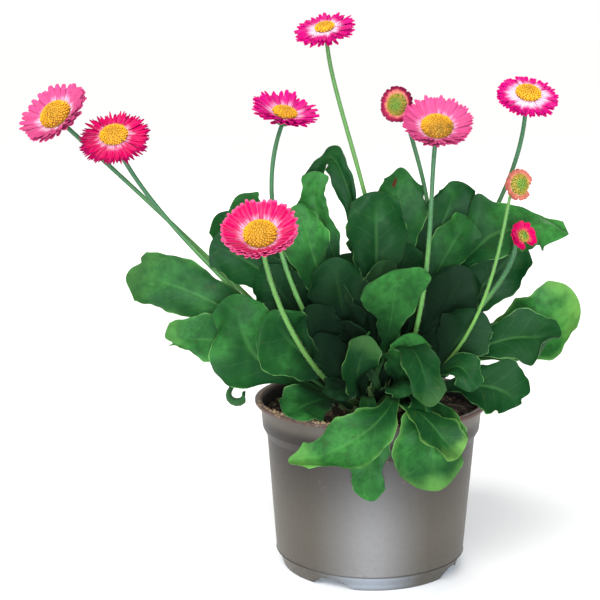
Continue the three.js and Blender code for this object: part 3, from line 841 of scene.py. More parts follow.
LEAVES = [
    leaf("leaf_front_tongue", OUTER, 260, (-3, -40, 98), (-5, -68, 84), (-2, -57, 45), 18,
         (0, -0.9, 0.4), fresh=0.5, bends=((0.9, 1, 0.15, 0.7, -2.5, 0, 0),
         (1, 0, 0.15, 1, 0, 0, 1.5))),
    leaf("leaf_front_drape", OUTER, 279, (14, -42, 104), (8, -78, 74), (-38, -65, 67), 24,
         (-0.1, -0.8, 0.6), fresh=0.65, gilt=0.35, bends=((0.95, -1, 0.12, 0.7, 0, 0, -5.5),
         (1, 1, 0.12, 0.6, 0, 0, 4), (1, 0, 0.1, 1.2, 1.0, 0, 0))),
    leaf("leaf_front_fold", OUTER, 299, (18, -38, 102), (23, -72, 86), (25, -64, 54), 31,
         (0.2, -0.85, 0.45), fresh=0.4, gilt=0.3, bends=((0.8, 1, 0.15, 0.7, -3, 0, 0),
         (0.9, -1, 0.15, 0.7, -4.5, 0, -2), (0.52, 0.15, 0.2, 0.25, 0, -4, 2),
         (0.55, 0.8, 0.18, 0.35, 0, 6, 0), (0.7, -0.4, 0.07, 0.3, 0, -3.5, 1),
         (0.83, 0.3, 0.06, 0.3, 0, -4.5, 2), (0.8, 0.8, 0.06, 0.25, 0, -4, 1),
         (0.66, 0.4, 0.08, 0.35, 0, 5, 0))),
    leaf("leaf_front_left_low", OUTER, 228, (-18, -18, 84), (-28, -38, 86), (-37, -46, 80), 21,
         FRONT_UP, fresh=0.4),
    leaf("leaf_right_front_low", OUTER, 324, (28, -18, 88), (50, -27, 95), (66, -31, 81), 27, FRONT_UP,
         fresh=0.0, bends=((1, -0.3, 0.12, 0.5, -5, 0, 0), (1, -1, 0.1, 0.5, -3, 0, 0),
         (1, 0.35, 0.05, 0.18, -3, 0, 0))),
    leaf("leaves_left_low", OUTER, 192, (-34, -8, 98), (-66, -16, 112), (-91, -20, 106), 22, FRONT,
         fresh=0.5, gilt=0.15, bends=((1, 0, 0.1, 0.2, 3.3, 0, 0), (1, 1, 0.2, 0.6, 1, 0, 6))),
    leaf("leaves_left_low", OUTER, 192, (-36, -6, 92), (-64, -4, 100), (-65, -4, 73), 7, UP, True,
         fresh=0.2, rolled=(0.885, 3.3, 215, (1, 0, 0))),
    leaf("leaves_right_middle", OUTER, 353, (34, -10, 98), (60, -17, 114), (82, -20, 108), 23, FRONT_UP,
         fresh=0.05, bends=((0.85, -1, 0.1, 0.7, 1, 0, -5), (1, -1, 0.1, 0.8, -3, 0, 5.5))),
    leaf("leaves_right_middle", OUTER, 353, (26, -12, 96), (38, -16, 104), (47, -16, 120), 24, FRONT,
         True, fresh=-0.15),
    leaf("leaf_right_back", OUTER, 32, (36, 16, 98), (62, 30, 108), (80, 38, 92), 28, UP),
    leaf("leaves_back_right", OUTER, 58, (26, 32, 100), (46, 56, 106), (56, 70, 86), 28, UP, fresh=0.6),
    leaf("leaves_back_right", OUTER, 58, (18, 24, 116), (30, 34, 132), (36, 40, 146), 24, FRONT_UP,
         True),
    leaf("leaves_back", OUTER, 86, (4, 36, 100), (6, 62, 104), (8, 82, 82), 30, UP),
    leaf("leaves_back", OUTER, 86, (-4, 26, 86), (-9, 30, 94), (-10, 32, 114), 25, FRONT, True,
         fresh=0.1),
    leaf("leaf_back_left", OUTER, 118, (-16, 30, 100), (-34, 54, 108), (-46, 72, 88), 28, UP,
         fresh=0.6),
    leaf("leaf_left_back", OUTER, 150, (-34, 20, 98), (-58, 38, 112), (-74, 48, 98), 28, UP),
    leaf("leaf_left_front", MIDDLE, 211, (-34, -16, 86), (-57, -32, 98), (-60, -31, 130), 30, FRONT,
         fresh=0.5, bends=((0.66, 1, 0.14, 0.8, -6, 0, -3.5), (0.92, 1, 0.06, 0.5, 3, 0, 0))),
    leaf("leaves_front_left", MIDDLE, 256, (-12, -18, 92), (-30, -32, 100), (-43, -40, 121), 28, FRONT,
         fresh=0.3, bends=((0.62, -1, 0.15, 0.8, -8, 0, 0), (0.8, -1, 0.1, 0.7, -4, 0, 2),
         (0.85, 1, 0.12, 0.7, -6, 0, 0), (1, 0, 0.15, 1, -2, 0, 3))),
    leaf("leaves_front_left", MIDDLE, 256, (-10, -26, 92), (-14, -36, 92), (-18, -43, 87), 14, FRONT_UP,
         True, fresh=-0.3),
    leaf("leaves_front_right", MIDDLE, 290, (8, -22, 88), (15, -36, 94), (15, -41, 115), 21, FRONT,
         fresh=0.55, bends=((0.7, -1, 0.2, 0.8, -4, 0, 4),)),
    leaf("leaves_front_right", MIDDLE, 290, (0, -20, 94), (-6, -38, 98), (-2, -37, 115), 12,
         (-0.9, -0.4, 0.3), True, fresh=0.5, bends=((0.85, -1, 0.25, 0.9, -3, 0, 0),)),
    leaf("leaf_left_long", MIDDLE, 184, (-36, -8, 104), (-74, -10, 130), (-107, -6, 134), 30, FRONT,
         fresh=0.35, gilt=0.1, bends=((0.75, -1, 0.14, 0.7, 0, 0, -3.6),
         (0.78, 1, 0.14, 0.7, 0, 0, 4.6), (1, -0.55, 0.05, 0.14, 2.5, 0, 0),
         (1, 0.1, 0.1, 0.5, -2, 0, 0))),
    leaf("leaf_right_light", MIDDLE, 336, (38, 2, 98), (68, 4, 98), (91, -2, 123), 34, FRONT_UP,
         fresh=0.7, gilt=0.55, bends=((0.86, 1, 0.1, 0.6, 0, 0, -3.6), (1, 0.7, 0.1, 0.6, 1, 0, 3))),
    leaf("leaf_right_upper", MIDDLE, 8, (26, 4, 130), (58, 4, 170), (87, 3, 150), 31, FRONT_UP,
         fresh=0.65, bends=((0.62, 1, 0.06, 0.7, -1, 0, 10), (0.8, 1, 0.1, 0.7, 0, 0, -6.2),
         (0.92, 1, 0.08, 0.7, 0, 0, -3.5), (1, 0.8, 0.08, 0.5, 0, 0, -4),
         (1, -0.6, 0.1, 0.5, -5.5, 0, 0))),
    leaf("leaves_right_round", MIDDLE, 52, (16, 14, 118), (34, 18, 150), (38, 14, 174), 21, FRONT,
         fresh=0.2, bends=((0.88, -1, 0.12, 0.7, 2.8, 0, 0), (1, 1, 0.1, 0.5, 1.8, 0, -3))),
    leaf("leaves_right_round", MIDDLE, 52, (28, 16, 106), (54, 20, 122), (69, 18, 146), 25, FRONT, True,
         fresh=0.1),
    leaf("leaves_back_tall", MIDDLE, 95, (2, 20, 112), (4, 38, 138), (4, 42, 152), 26, FRONT_UP,
         fresh=0.2),
    leaf("leaves_back_tall", MIDDLE, 95, (-12, 22, 112), (-28, 34, 130), (-34, 42, 144), 24, FRONT_UP,
         True, fresh=0.1),
    leaf("leaves_left_upper", MIDDLE, 140, (-20, 10, 120), (-44, 10, 150), (-60, 6, 168), 22, FRONT,
         fresh=0.4, bends=((0.88, -1, 0.1, 0.8, -5, 0, -1), (1, -1, 0.08, 0.6, 1.6, 0, -1.8))),
    leaf("leaves_left_upper", MIDDLE, 140, (-26, 18, 112), (-52, 20, 134), (-70, 17, 158), 20, FRONT,
         True, fresh=0.3),
    leaf("leaf_centre_front", INNER, 285, (4, -16, 100), (8, -32, 114), (9, -37, 141), 29, FRONT,
         fresh=0.6, widest=0.95, crumple=1.5, bends=((0.62, 1, 0.2, 0.8, 2, 0, 0),
         (0.66, -1, 0.2, 0.8, -3.5, 0, 0), (0.84, -1, 0.1, 0.7, -2.5, 0, 0),
         (1, -1, 0.16, 0.6, 2, 0, 7), (0.9, 1, 0.08, 0.4, -2, -4, 0))),
    leaf("leaves_centre_left", INNER, 225, (-10, -6, 112), (-26, -10, 140), (-32, -6, 166), 25, FRONT,
         fresh=0.55, bends=((0.8, -1, 0.16, 0.8, -4.5, 0, 0), (0.62, -1, 0.12, 0.8, -6, 0, -1),
         (1, -1, 0.1, 0.6, -3, 0, -2))),
    leaf("leaves_centre_left", INNER, 225, (-8, -12, 104), (-16, -18, 122), (-17, -19, 144), 26, FRONT,
         True, fresh=0.05, crumple=1.8),
    leaf("leaves_left_inner", INNER, 172, (-24, 2, 118), (-50, 0, 140), (-72, -2, 147), 22, FRONT,
         fresh=0.05),
    leaf("leaves_left_inner", INNER, 172, (-20, -2, 104), (-38, -4, 118), (-48, -6, 138), 24, FRONT,
         True, fresh=0.05),
    leaf("leaves_top_nodding", INNER, 125, (0, 12, 130), (-12, 18, 214), (-28, 14, 174), 14, FRONT_UP,
         fresh=0.25, bends=((0.9, -1, 0.08, 0.8, 3.5, 0, -3), (1, -1, 0.05, 0.8, 2, 0, -3),
         (0.6, -1, 0.15, 0.8, -2.3, 0, 0))),
    leaf("leaves_top_nodding", INNER, 125, (-10, 8, 128), (-26, 8, 156), (-25, 6, 179), 14, FRONT, True,
         fresh=0.65, bends=((0.75, 1, 0.15, 0.8, -3, 0, 0), (0.8, -1, 0.12, 0.8, -4.5, 0, 0))),
    leaf("leaves_top_round", INNER, 65, (4, 8, 120), (11, 9, 152), (13, 8, 181), 26, FRONT, fresh=0.35,
         spot=(0.92, 0.25), bends=((1, -0.8, 0.1, 0.5, 0, 0, -4.5), (1, 0.9, 0.12, 0.6, 3.2, 0, -2))),
    leaf("leaves_top_round", INNER, 65, (2, -2, 118), (2, -3, 146), (1, -3, 171), 27, FRONT, True,
         fresh=0.15, wild=0.06, crumple=2.2),
    leaf("leaves_right_inner", INNER, 5, (16, 2, 112), (34, 2, 146), (44, 0, 158), 19, FRONT_UP,
         fresh=0.3),
    leaf("leaves_right_inner", INNER, 5, (18, -4, 100), (34, -6, 118), (41, -6, 138), 25, FRONT, True,
         fresh=-0.35, crumple=1.8),
]
YOUNG = [
    leaf("young", MIDDLE, 265, (-6, -26, 82), (-13, -47, 92), (-3, -47, 115), 16, (0.3, -0.8, 0.5),
         fresh=0.05, gilt=0.12),
    leaf("young", MIDDLE, 283, (8, -28, 112), (16, -50, 122), (22, -60, 88), 17, (0.3, -0.8, 0.5),
         fresh=-0.1, gilt=0.12),
    leaf("young", OUTER, 292, (8, -44, 92), (20, -75, 87), (32.5, -74, 71), 17, (0.35, -0.75, 0.5),
         fresh=0.3, gilt=0.8),
    leaf("young", OUTER, 312, (27, -22, 92), (39, -40, 112), (40, -42, 90), 14, FRONT_UP, fresh=0.1),
    leaf("young", MIDDLE, 277, (4, -28, 86), (9, -44, 98), (12, -51, 90), 11, FRONT_UP, fresh=0.1),
    leaf("young", INNER, 20, (10, 2, 106), (14, 6, 124), (15, 4, 147), 19, FRONT, fresh=0.05),
    leaf("young", INNER, 228, (-12, -12, 94), (-22, -20, 104), (-27, -22, 124), 20, FRONT, fresh=0.05),
    leaf("young", MIDDLE, 240, (-9, -18, 88), (-18, -24, 94), (-24, -26, 112), 17, FRONT, fresh=0.0),
    leaf("young", MIDDLE, 335, (18, -8, 86), (31, -8, 94), (37, -10, 112), 22, FRONT, fresh=0.0),
]
YOUNG_RULE = {"count": 18, "ring": (3, 10), "length": (36, 66), "lean": (8, 34), "width": (15, 23)}
# How far out and how far up along its lean the handles and the tip of a young leaf lie
YOUNG_HANDLES = ((0.15, 0.4), (0.55, 0.8), (1.0, 1.0))


def young_leaves(chance):
    """The young leaves listed one by one, and more upright ones set out by a rule."""
    count = YOUNG_RULE["count"]
    found = list(YOUNG)
    for i in range(count):
        turn = math.degrees(i * GOLDEN) + chance.uniform(-15, 15)
        share = (i + 0.5) / count
        ring = (between(YOUNG_RULE["ring"], share), 78.5 - 2 * share)
        lean = math.radians(between(YOUNG_RULE["lean"], share) + chance.uniform(-4, 4))
        length = between(YOUNG_RULE["length"], chance.random())
        root = root_on(ring, turn)
        way = unit(np.array((root[0], root[1], 0.0)))
        up = np.array((0, 0, 1.0))
        sides = [root + length * (far * math.sin(lean) * way + high * math.cos(lean) * up)
                 for far, high in YOUNG_HANDLES]
        face = unit(-way * 0.6 + up * 0.5 + np.array((0, -0.5, 0)))
        width = between(YOUNG_RULE["width"], chance.random())
        fresh = chance.uniform(0, 0.25)
        found.append(leaf("young", ring, turn, *sides, width, face, fresh=fresh, wild=0.05))
    return found


# A smaller blade forks from the stalk of the full one before it
for order, blade in enumerate(LEAVES):
    if blade["small"]:
        stalk = next(other for other in reversed(LEAVES[:order]) if not other["small"])
        blade["spine"][0] = bezier(stalk["spine"], FORK)


def blade_share(s):
    """How far along the blade proper a point is, past the petiole."""
    return np.maximum(0, (s - LEAF["neck"]) / (1 - LEAF["neck"]))


def half_width(blade, s):
    b = blade_share(s)
    petiole = LEAF["petiole"] * (LEAF["slim"] if blade["small"] else 1)
    narrow = (petiole / 2) * (1 + LEAF["wing"] * np.minimum(s / LEAF["neck"], 1) ** 2)
    past = np.maximum(0, (b - blade["widest"]) / (1 - blade["widest"]))
    swell = smooth(b / blade["widest"]) * (1 - LEAF["close"] * past**2)
    wide = narrow + (blade["width"] / 2 - narrow) * swell
    blunt = smooth((b - LEAF["blunt_from"]) / 0.2) ** 1.5
    return wide * (1 - LEAF["blunt"] * blunt)


def upper_side(blade, s, tangent):
    """The way that a leaf's upper side faces."""
    root = blade["spine"][0]
    inward = unit(np.array((-root[0], -root[1], 12.0)))
    turn = smooth(s / 0.6)[:, None]
    hint = inward * (1 - turn) + blade["face"] * turn
    return unit(hint - tangent * dots(hint, tangent))


def roll_end(blade, s, centre, tangent, normal):
    """Rolls the end of a leaf into an arc.

    Rolled says at which share of its length the arc starts, its radius, how many degrees it
    turns, and the direction it turns toward.
    """
    first, radius, degrees, toward = blade["rolled"]
    start = bezier(blade["spine"], first)
    way = heading(blade["spine"], first)
    toward = np.array(toward, float)
    inward = unit(toward - way * (way @ toward))
    level = upper_side(blade, np.array([first]), way[None])[0]
    turn = np.maximum(0, (s - first) / (1 - first))[:, None] * math.radians(degrees)
    ahead = np.cos(turn) * way + np.sin(turn) * inward
    aside = np.cos(turn) * inward - np.sin(turn) * way
    arc = start + radius * (np.sin(turn) * way + (1 - np.cos(turn)) * inward)
    still = level - way * (level @ way) - inward * (level @ inward)
    rolled = still + ahead * (level @ way) + aside * (level @ inward)
    past = turn > 0
    return [np.where(past, *pair) for pair in ((arc, centre), (ahead, tangent), (rolled, normal))]


def leaf_relief(blade, u, b, half, phase, settings):
    """How far the blade stands above its spine, and the midrib's share of each point."""
    bare = smooth(b * 3)
    side = np.where(u > 0, LEAF_EDGE["shift"], 0)
    ripple = np.sin(b * LEAF_EDGE["ripples"] + phase + side)
    wave = LEAF_EDGE["wave"] * blade["width"] * smooth(b * 2) * np.abs(u) ** 3 * ripple
    rib = np.exp(-((u / 0.1) ** 2)) * smooth(b * 6) * (1 - smooth((b - 0.7) / 0.3))
    rows = np.sin(b * QUILT["rows"] - np.abs(u) * QUILT["slant"] + phase)
    quilt = QUILT["height"] * bare * (1 - u**4) * rows * smooth(np.abs(u) * 4)
    broad, fine = (height * blade["crumple"] * bare for height in DISH)
    dish = broad * np.sin(b * 5 + phase * 2) * np.sin(u * 3 + phase)
    dish = dish + fine * np.sin(b * 11 + phase * 3) * np.sin(u * 5 + b * 3 + phase * 5)
    cup = LEAF_EDGE["cup"] * half * u * u
    return cup + wave + quilt + dish - settings.groove / MM * rib, rib


def leaf_points(blade, order, settings, pattern):
    """Bends a strip into a leaf with its midrib, cupped blade and toothed, wavy margin."""
    u, s, w = pattern.points.T
    b = blade_share(s)
    half = half_width(blade, s)
    length = np.linalg.norm(blade["spine"][3] - blade["spine"][0])
    at = s - LEAF_EDGE["round"] * half * u * u * b**4 / length
    centre = bezier(blade["spine"], at)
    tangent = heading(blade["spine"], at)
    normal = upper_side(blade, at, tangent)
    if blade["rolled"]:
        centre, tangent, normal = roll_end(blade, at, centre, tangent, normal)
    side = np.cross(normal, tangent)
    phase = (order + 1) * GOLDEN
    bare = smooth(b * 3)
    lobes = np.sin(b * LOBES["broad"] + phase * 3 + np.where(u > 0, LOBES["shift"], 0))
    lobes = lobes + 0.5 * np.sin(b * LOBES["fine"] + phase * 5 + u)
    half = half * (1 + blade["wild"] * bare * smooth((1 - b) * 6) * lobes)
    tooth = LEAF_EDGE["tooth"] * bare * np.cos(b * LEAF_EDGE["teeth"] * math.tau) * u**5
    scallop = settings.scallop / MM * bare * np.cos(b * LEAF_EDGE["scallops"] + phase)
    scallop = scallop * np.sign(u) * np.abs(u) ** 9
    lift, rib = leaf_relief(blade, u, b, half, phase, settings)
    thin = settings.thickness / MM
    thickness = thin + (LEAF["stalk"] - thin) * (1 - smooth(s / LEAF["neck"]))
    thickness = thickness * (1 - 0.45 * u**4 * bare)
    under = np.where(w < 0, 0.45 * rib, 0)
    shape = side * (half * u + tooth + scallop)[:, None]
    points = centre + shape + normal * (lift + w * thickness - under)[:, None]
    for along, across, reach, spread, *pull in blade["bends"]:
        share = np.exp(-(((s - along) / reach) ** 2) - ((u - across) / spread) ** 2)
        points = points + share[:, None] * np.array(pull)
    return points, normal


def leaf_finish(settings):
    """Dark green skin with lighter young leaves, faint veins, a ragged rim, on some leaves a pale rim
    and tip that are partly painted light, and painted shade deep in the heart, at each blade's foot and
    on leaves that lie in shade.
    """
    skin = Finish(
        "leaf",
        {
            "Specular IOR Level": 0.1,
            "Subsurface Weight": 0.1,
            "Subsurface Radius": (0.4, 1.0, 0.25),
            "Subsurface Scale": 1.2 * MM,
        },
    )
    across, along = skin.strip()
    place = skin.place()
    out = skin.math("ABSOLUTE", across)
    fresh, gilt, under, spot = (skin.mark(name) for name in ("fresh", "gilt", "under", "spot"))
    patches = skin.noise(place, 75, 3, 0.55)
    flecks = skin.noise(place, 330, 4, 0.65)
    pores = skin.noise(place, 2400, 2)
    blade = skin.fade(along, 0.3, 0.46)
    rib = (1 - skin.fade(out, 0.02, 0.09)) * (1 - skin.fade(along, 0.7, 0.98))
    wander = skin.noise(place, 130, 2) * 0.5
    ray = skin.fade(skin.math("SINE", along * 62 - out * 9 + wander * 5), 0.9, 1.0)
    vein = ray * skin.fade(out, 0.03, 0.12) * (1 - skin.fade(out, 0.6, 0.95))
    # Painted shade: the fresh green fades out toward the foot of each blade, so every leaf is darker
    # near the crown
    unshaded_toward_tip = skin.fade(along, 0.3, 0.95)
    tone = skin.fade(fresh * unshaded_toward_tip + (patches - 0.5) * 1.1, 0.05, 1.0)
    # A paler rim and tip on some leaves: partly their own pale margin, partly painted light caught on
    # the edge
    edge = skin.fade(out + (patches - 0.5) * 0.2, 0.84, 1.02) * 0.6
    tip = skin.fade(along + (patches - 0.5) * 0.3, 0.86, 1.02)
    gilt_and_light = gilt * skin.math("MAXIMUM", edge, tip)
    rim = skin.fade(out, 0.965, 0.99) * blade * (1 - gilt)
    margin = skin.mix(skin.fade(patches, 0.44, 0.56), settings.margin, settings.rim)
    # Painted shade: leaves low in the heart, near the axis, are darkened toward the deep shade colour,
    # less where they are fresher
    low = skin.fade(skin.axis(place, "Z"), 160 * MM, 114 * MM)
    deep = skin.fade(skin.from_axis(place), 58 * MM, 30 * MM) * low
    lit = skin.fade(fresh, 0.15, 0.6) * 0.55
    base = skin.coats(
        settings.cool,
        (tone, settings.fresh),
        (skin.fade(flecks, 0.42, 0.66) * 0.5, FLECK_GREEN),
        (skin.fade(flecks, 0.6, 0.72) * 0.25, FLECK_BROWN),
        (vein * 0.05, settings.rib),
        (rib * 0.2 * blade, settings.rib),
        ((1 - blade) * 0.22, settings.rib),
        (gilt_and_light * 0.9, GILT_AND_LIT_GREEN),
        (rim * 0.6, margin),
        (under * 0.3, UNDER_GREEN),
        # Painted shade on leaves whose fresh is below 0
        (skin.fade(fresh, 0, -0.5) * 0.85, settings.shade),
        (deep * (1 - lit) * 0.97, settings.shade),
        (skin.fade(spot + (flecks - 0.5) * 0.4, 0.45, 0.65), SPOT_BROWN),
    )
    rough = 0.46 + flecks * 0.14 + under * 0.15 + deep * 0.35
    relief = skin.bump(rib * -0.4 + vein * -0.22 + flecks * 0.5, 0.25 * MM, 0.7)
    relief = skin.bump(pores, 0.05 * MM, 0.6, relief)
    return skin.finish(base=base, roughness=rough, normal=relief)


def add_hair(sheaf, pattern, at, direction, length, thick, **marks):
    points = pattern.points * (thick, thick, length)
    sheaf.add(pattern, points @ turn_to(direction).T + at, **marks)


class GrowLeaves(bpy.types.Operator):
    """Bends each blade from a strip and sets hairs along its margin"""

    bl_idname = "daisy.leaves"
    bl_label = "Leaves"

    def execute(self, context):
        settings = context.scene.daisy_leaves
        chance = chances("leaves")
        blank = strip(60, 22)
        hair = spike()
        finish = leaf_finish(settings)
        sheaves = {}
        for order, blade in enumerate(LEAVES):
            sheaf = sheaves.setdefault(blade["name"], Sheaf())
            self.grow(sheaf, blade, order, settings, blank, hair, chance)
        for name, sheaf in sheaves.items():
            piece = sheaf.tie("blade_" + name)
            soften(piece, 50)
            dress(piece, finish, "leaf", name)
        heart = Sheaf()
        blank = strip(36, 14)
        for order, blade in enumerate(young_leaves(chance)):
            self.grow(heart, blade, len(LEAVES) + order, settings, blank, hair, chance)
        piece = heart.tie("young_leaves")
        soften(piece, 50)
        dress(piece, finish, "leaf")
        return {"FINISHED"}

    def grow(self, sheaf, blade, order, settings, blank, hair, chance):
        points, normal = leaf_points(blade, order, settings, blank)
        across, along, through = blank.points.T
        under = np.where(through < 0, 1.0, 0.0)
        spot = 0.0
        if blade["spot"]:
            far = (along - blade["spot"][0]) / SPOT[0], (across - blade["spot"][1]) / SPOT[1]
            spot = np.exp(-(far[0] ** 2) - far[1] ** 2)
        marks = {"fresh": blade["fresh"], "gilt": blade["gilt"], "under": under, "spot": spot}
        sheaf.add(blank, points, **marks)
        margin = np.flatnonzero((np.abs(across) > 0.99) & (through > 0))
        for i in margin[:: 2]:
            spread = np.cross(normal[i], heading(blade["spine"], along[i]))
            way = unit(np.sign(across[i]) * spread + 0.6 * chance.normal(size=3))
            length = settings.hair / MM * chance.uniform(0.5, 1.2)
            add_hair(sheaf, hair, points[i], way, length, 0.035, fresh=1.0, under=1.0)


# Crown, in millimetres

CROWN_CORE = [(0, 66), (15.5, 66), (16.6, 70), (15, 74.5), (10.5, 78), (5, 80), (0, 80.6)]
# The feet of old leaves, with the radius and height of the first and how they change
SHEATHS = {"count": 46, "inner": 4, "spread": 12, "top": 79.2, "drop": 11, "thick": 0.6}
CROWN_BROWN = "3A2C1A"
CROWN_GREEN = "3C5C2C"
STRAND_PALE = "7C8458"


def crown_finish():
    crown = Finish("crown", {"Specular IOR Level": 0.35})
    place = crown.place()
    strands = crown.noise(crown.stretched(place, (1, 1, 0.2)), 600, 3)
    patches = crown.noise(place, 160, 3)
    high = crown.fade(crown.axis(place, "Z") + patches * 6 * MM, 68 * MM, 82 * MM)
    base = crown.coats(CROWN_BROWN, (high, CROWN_GREEN), (strands * 0.3, STRAND_PALE))
    relief = crown.bump(strands, 0.4 * MM)
    return crown.finish(base=base, roughness=0.55 + strands * 0.2, normal=relief)


def sheath_points(pattern, i, chance):
    """One sheathing foot, more upright in the middle of the crown and lower further out."""
    share = (i + 0.5) / SHEATHS["count"]
    turn = i * GOLDEN
    out = SHEATHS["inner"] + SHEATHS["spread"] * share
    base = around(out, turn, SHEATHS["top"] - SHEATHS["drop"] * share**1.6)
    way = unit(around(0.3 + share, turn, 1.1))
    u, s, w = pattern.points.T
    half = (1.9 - 0.5 * share) * np.sqrt(np.clip(1 - s**2 * 0.9, 0, 1))
    across = unit(np.cross((0, 0, 1), way))
    normal = np.cross(way, across)
    rise = 5.5 + 3 * chance.random()
    points = base + way * (s * rise)[:, None] + across * (half * u)[:, None]
    return points + normal * (w * SHEATHS["thick"] - 0.5 * u * u + 0.8 * s * s)[:, None]


class GrowCrown(bpy.types.Operator):
    """Packs the crown with the sheathing feet of old leaves"""

    bl_idname = "daisy.crown"
    bl_label = "Crown"

    def execute(self, context):
        chance = chances("crown")
        core = turned("crown_core", rounded(CROWN_CORE, 2), 48)
        keep = Sheaf()
        scale = strip(10, 6)
        for i in range(SHEATHS["count"]):
            keep.add(scale, sheath_points(scale, i, chance))
        piece = joined(core, keep.tie("sheaths"))
        face_outward(piece)
        soften(piece, 50)
        dress(piece, crown_finish(), "crown", "crown")
        return {"FINISHED"}


# Blooms, in millimetres

# How far under its hub a bloom's stem ends
STEM_TOP = 4.2


def bloom(name, ring, azimuth, first, second, at, face, **more):
    """A bloom on a stem from the crown, with its place, the way it faces and its looks.

    Cup is how many degrees its petals rise, streak how striped they are, white how far their
    pale feet reach, and stale how far painted shade browns the low side of its disc. Closed
    gives a direction in which petals rise by more degrees. Short and missing give a direction
    and an angle round it in which petals have a share of the length, or are left out.
    """
    facing = aim(face)
    at = np.array(at, float)
    stem = np.array([root_on(ring, azimuth), first, second, at - facing * STEM_TOP], float)
    usual = {"radius": 15, "disc": 7, "dome": 0.42, "cup": 12, "rows": 4, "count": 42, "width": 1.5,
             "bud": False, "white": 0.2, "streak": 0.8, "root": None, "tip": None, "pale_rim": 0.0,
             "flutter": 1.0, "point": 0.25, "curl": 0.1, "missing": (), "stale": 0.2, "fresh": 0.0,
             "slim": 1.0, "closed": ((0, 0, 1), 0), "short": ((0, 0, 1), 0, 1)}
    return {"name": name, "stem": stem, "at": at, "facing": facing, **usual, **more}


BLOOMS = [
    bloom("bloom_far_left", OUTER_STEM, 160, (-50, 12, 118), (-118, 9, 182), (-135.7, -15, 204),
          (-0.41, -0.61, 0.68), paint="pink", slot="petal_pink", radius=16, disc=7.3, dome=0.65, cup=23,
          count=28, rows=3, width=2.6, white=0.25, streak=0.7, flutter=1.1, point=0.1, stale=0.5,
          closed=((0.75, -0.5, -0.4), 9), short=((-0.6, 0.2, 0.75), 24, 0.72)),
    bloom("bloom_left", OUTER_STEM, 174, (-46, 5, 112), (-96, -6, 156), (-111.8, -14, 195.4),
          (-0.06, -0.64, 0.77), paint="magenta", slot="petal_magenta", radius=15.7, disc=6.3, cup=0,
          count=44, width=1.5, white=0.15, streak=1.0, tip="7A0A4A", flutter=1.5, point=0.7, curl=0.25,
          stale=0.35),
    bloom("bloom_front", OUTER_STEM, 246, (-22, -36, 88), (-42, -56, 122), (-48, -60, 158.6),
          (-0.08, -0.65, 0.76), paint="magenta", slot="petal_magenta", fresh=0.8, radius=15.9, disc=7.1,
          dome=0.7, cup=29, count=40, width=2.2, white=0.22, streak=1.0, pale_rim=0.25, flutter=1.0,
          point=0.1, stale=0.55, closed=((0, -0.8, -0.6), 10)),
    bloom("bloom_upper_left", INNER_STEM, 205, (-34, -26, 118), (-54, -16, 164), (-39, 0, 204),
          (0.2, -0.39, 0.9), paint="rose", slot="petal_magenta", radius=15, disc=5.6, cup=19, count=36,
          width=1.9, white=0.25, streak=0.9, flutter=1.5, point=0.2, stale=0.35,
          closed=((0.1, -0.9, -0.4), 5)),
    bloom("bloom_top", INNER_STEM, 95, (21, 14, 127.7), (-18.3, 24, 202.4), (-20.8, 25, 240.8),
          (-0.18, -0.43, 0.88), paint="rose", slot="petal_magenta", radius=13.9, disc=4.7, cup=3,
          count=38, width=1.75, white=0.36, streak=0.3, flutter=1.5, point=0.2, stale=0.1, fresh=0.6),
    bloom("bloom_middle_right", OUTER_STEM, 312, (28, -20, 120), (22, -24, 170), (25.6, -25, 199.6),
          (0, -0.66, 0.75), paint="pink", slot="petal_pink", radius=14.8, disc=7, dome=0.5, cup=31,
          count=44, width=1.7, white=0.18, streak=1.0, flutter=1.1, point=0.2, stale=1.0,
          closed=((0, -0.8, -0.6), 6)),
    bloom("bloom_far_right", INNER_STEM, 30, (40, 18, 130), (70, 22, 170), (68.1, 5, 212.3),
          (0.09, -0.56, 0.82), paint="rose", slot="petal_pink", radius=13.8, disc=5.9, cup=0, count=42,
          width=1.6, white=0.46, streak=0.3, flutter=1.1, point=0.15, stale=0.1, curl=0.35),
    bloom("bud_high", OUTER_STEM, 72, (46, 24, 132), (22, 25, 176.4), (11.9, 15, 207.9),
          (-0.54, -0.83, 0.1), paint="wine", slot="petal_salmon", radius=8.2, disc=5.1, cup=24,
          count=19, rows=2, width=2.3, bud=True, white=0.45, streak=0.1, root="E88A74", tip="6A1236",
          flutter=0.8, point=0.0, stale=0.0, missing=(((-1, -0.2, -0.1), 9),)),
    bloom("bud_right", OUTER_STEM, 340, (49, -25, 101), (52, -30, 147), (59.4, -32, 176.9),
          (0.45, -0.87, 0.12), paint="salmon", slot="petal_salmon", radius=6.8, disc=4.6, cup=14,
          count=17, rows=2, width=2.0, bud=True, white=0.3, streak=0.2, root="E8A080", tip="9A5048",
          flutter=0.9, point=0.0, stale=0.0, missing=(((1, 0.4, -0.3), 19),), fresh=0.8, slim=0.72),
    bloom("bud_low_right", OUTER_STEM, 20, (44, 2, 112), (62, -14, 134), (63.3, -20.8, 153.2),
          (0.5, -0.75, 0.43), paint="magenta", slot="petal_magenta", radius=6.8, disc=2.7, cup=20,
          count=17, rows=2, width=2.3, bud=True, white=0.3, streak=0.2, root="C0604C", curl=0.6,
          point=0.0, stale=0.0, missing=(((0.3, 0, -1), 38),)),
]
# The height of a bloom's hub, with the degrees from its top row of petals to the lowest
HUB = 0.95
PETAL_SPREAD = 8
# How much closer a petal's rows of faces lie at its tip
TIP_ROWS = 1.8
# How far petals start inside the disc's rim and below the hub, and how deep all rows are
PETAL_FOOT = {"inside": 0.9, "below": 0.4, "rows": 1.5}
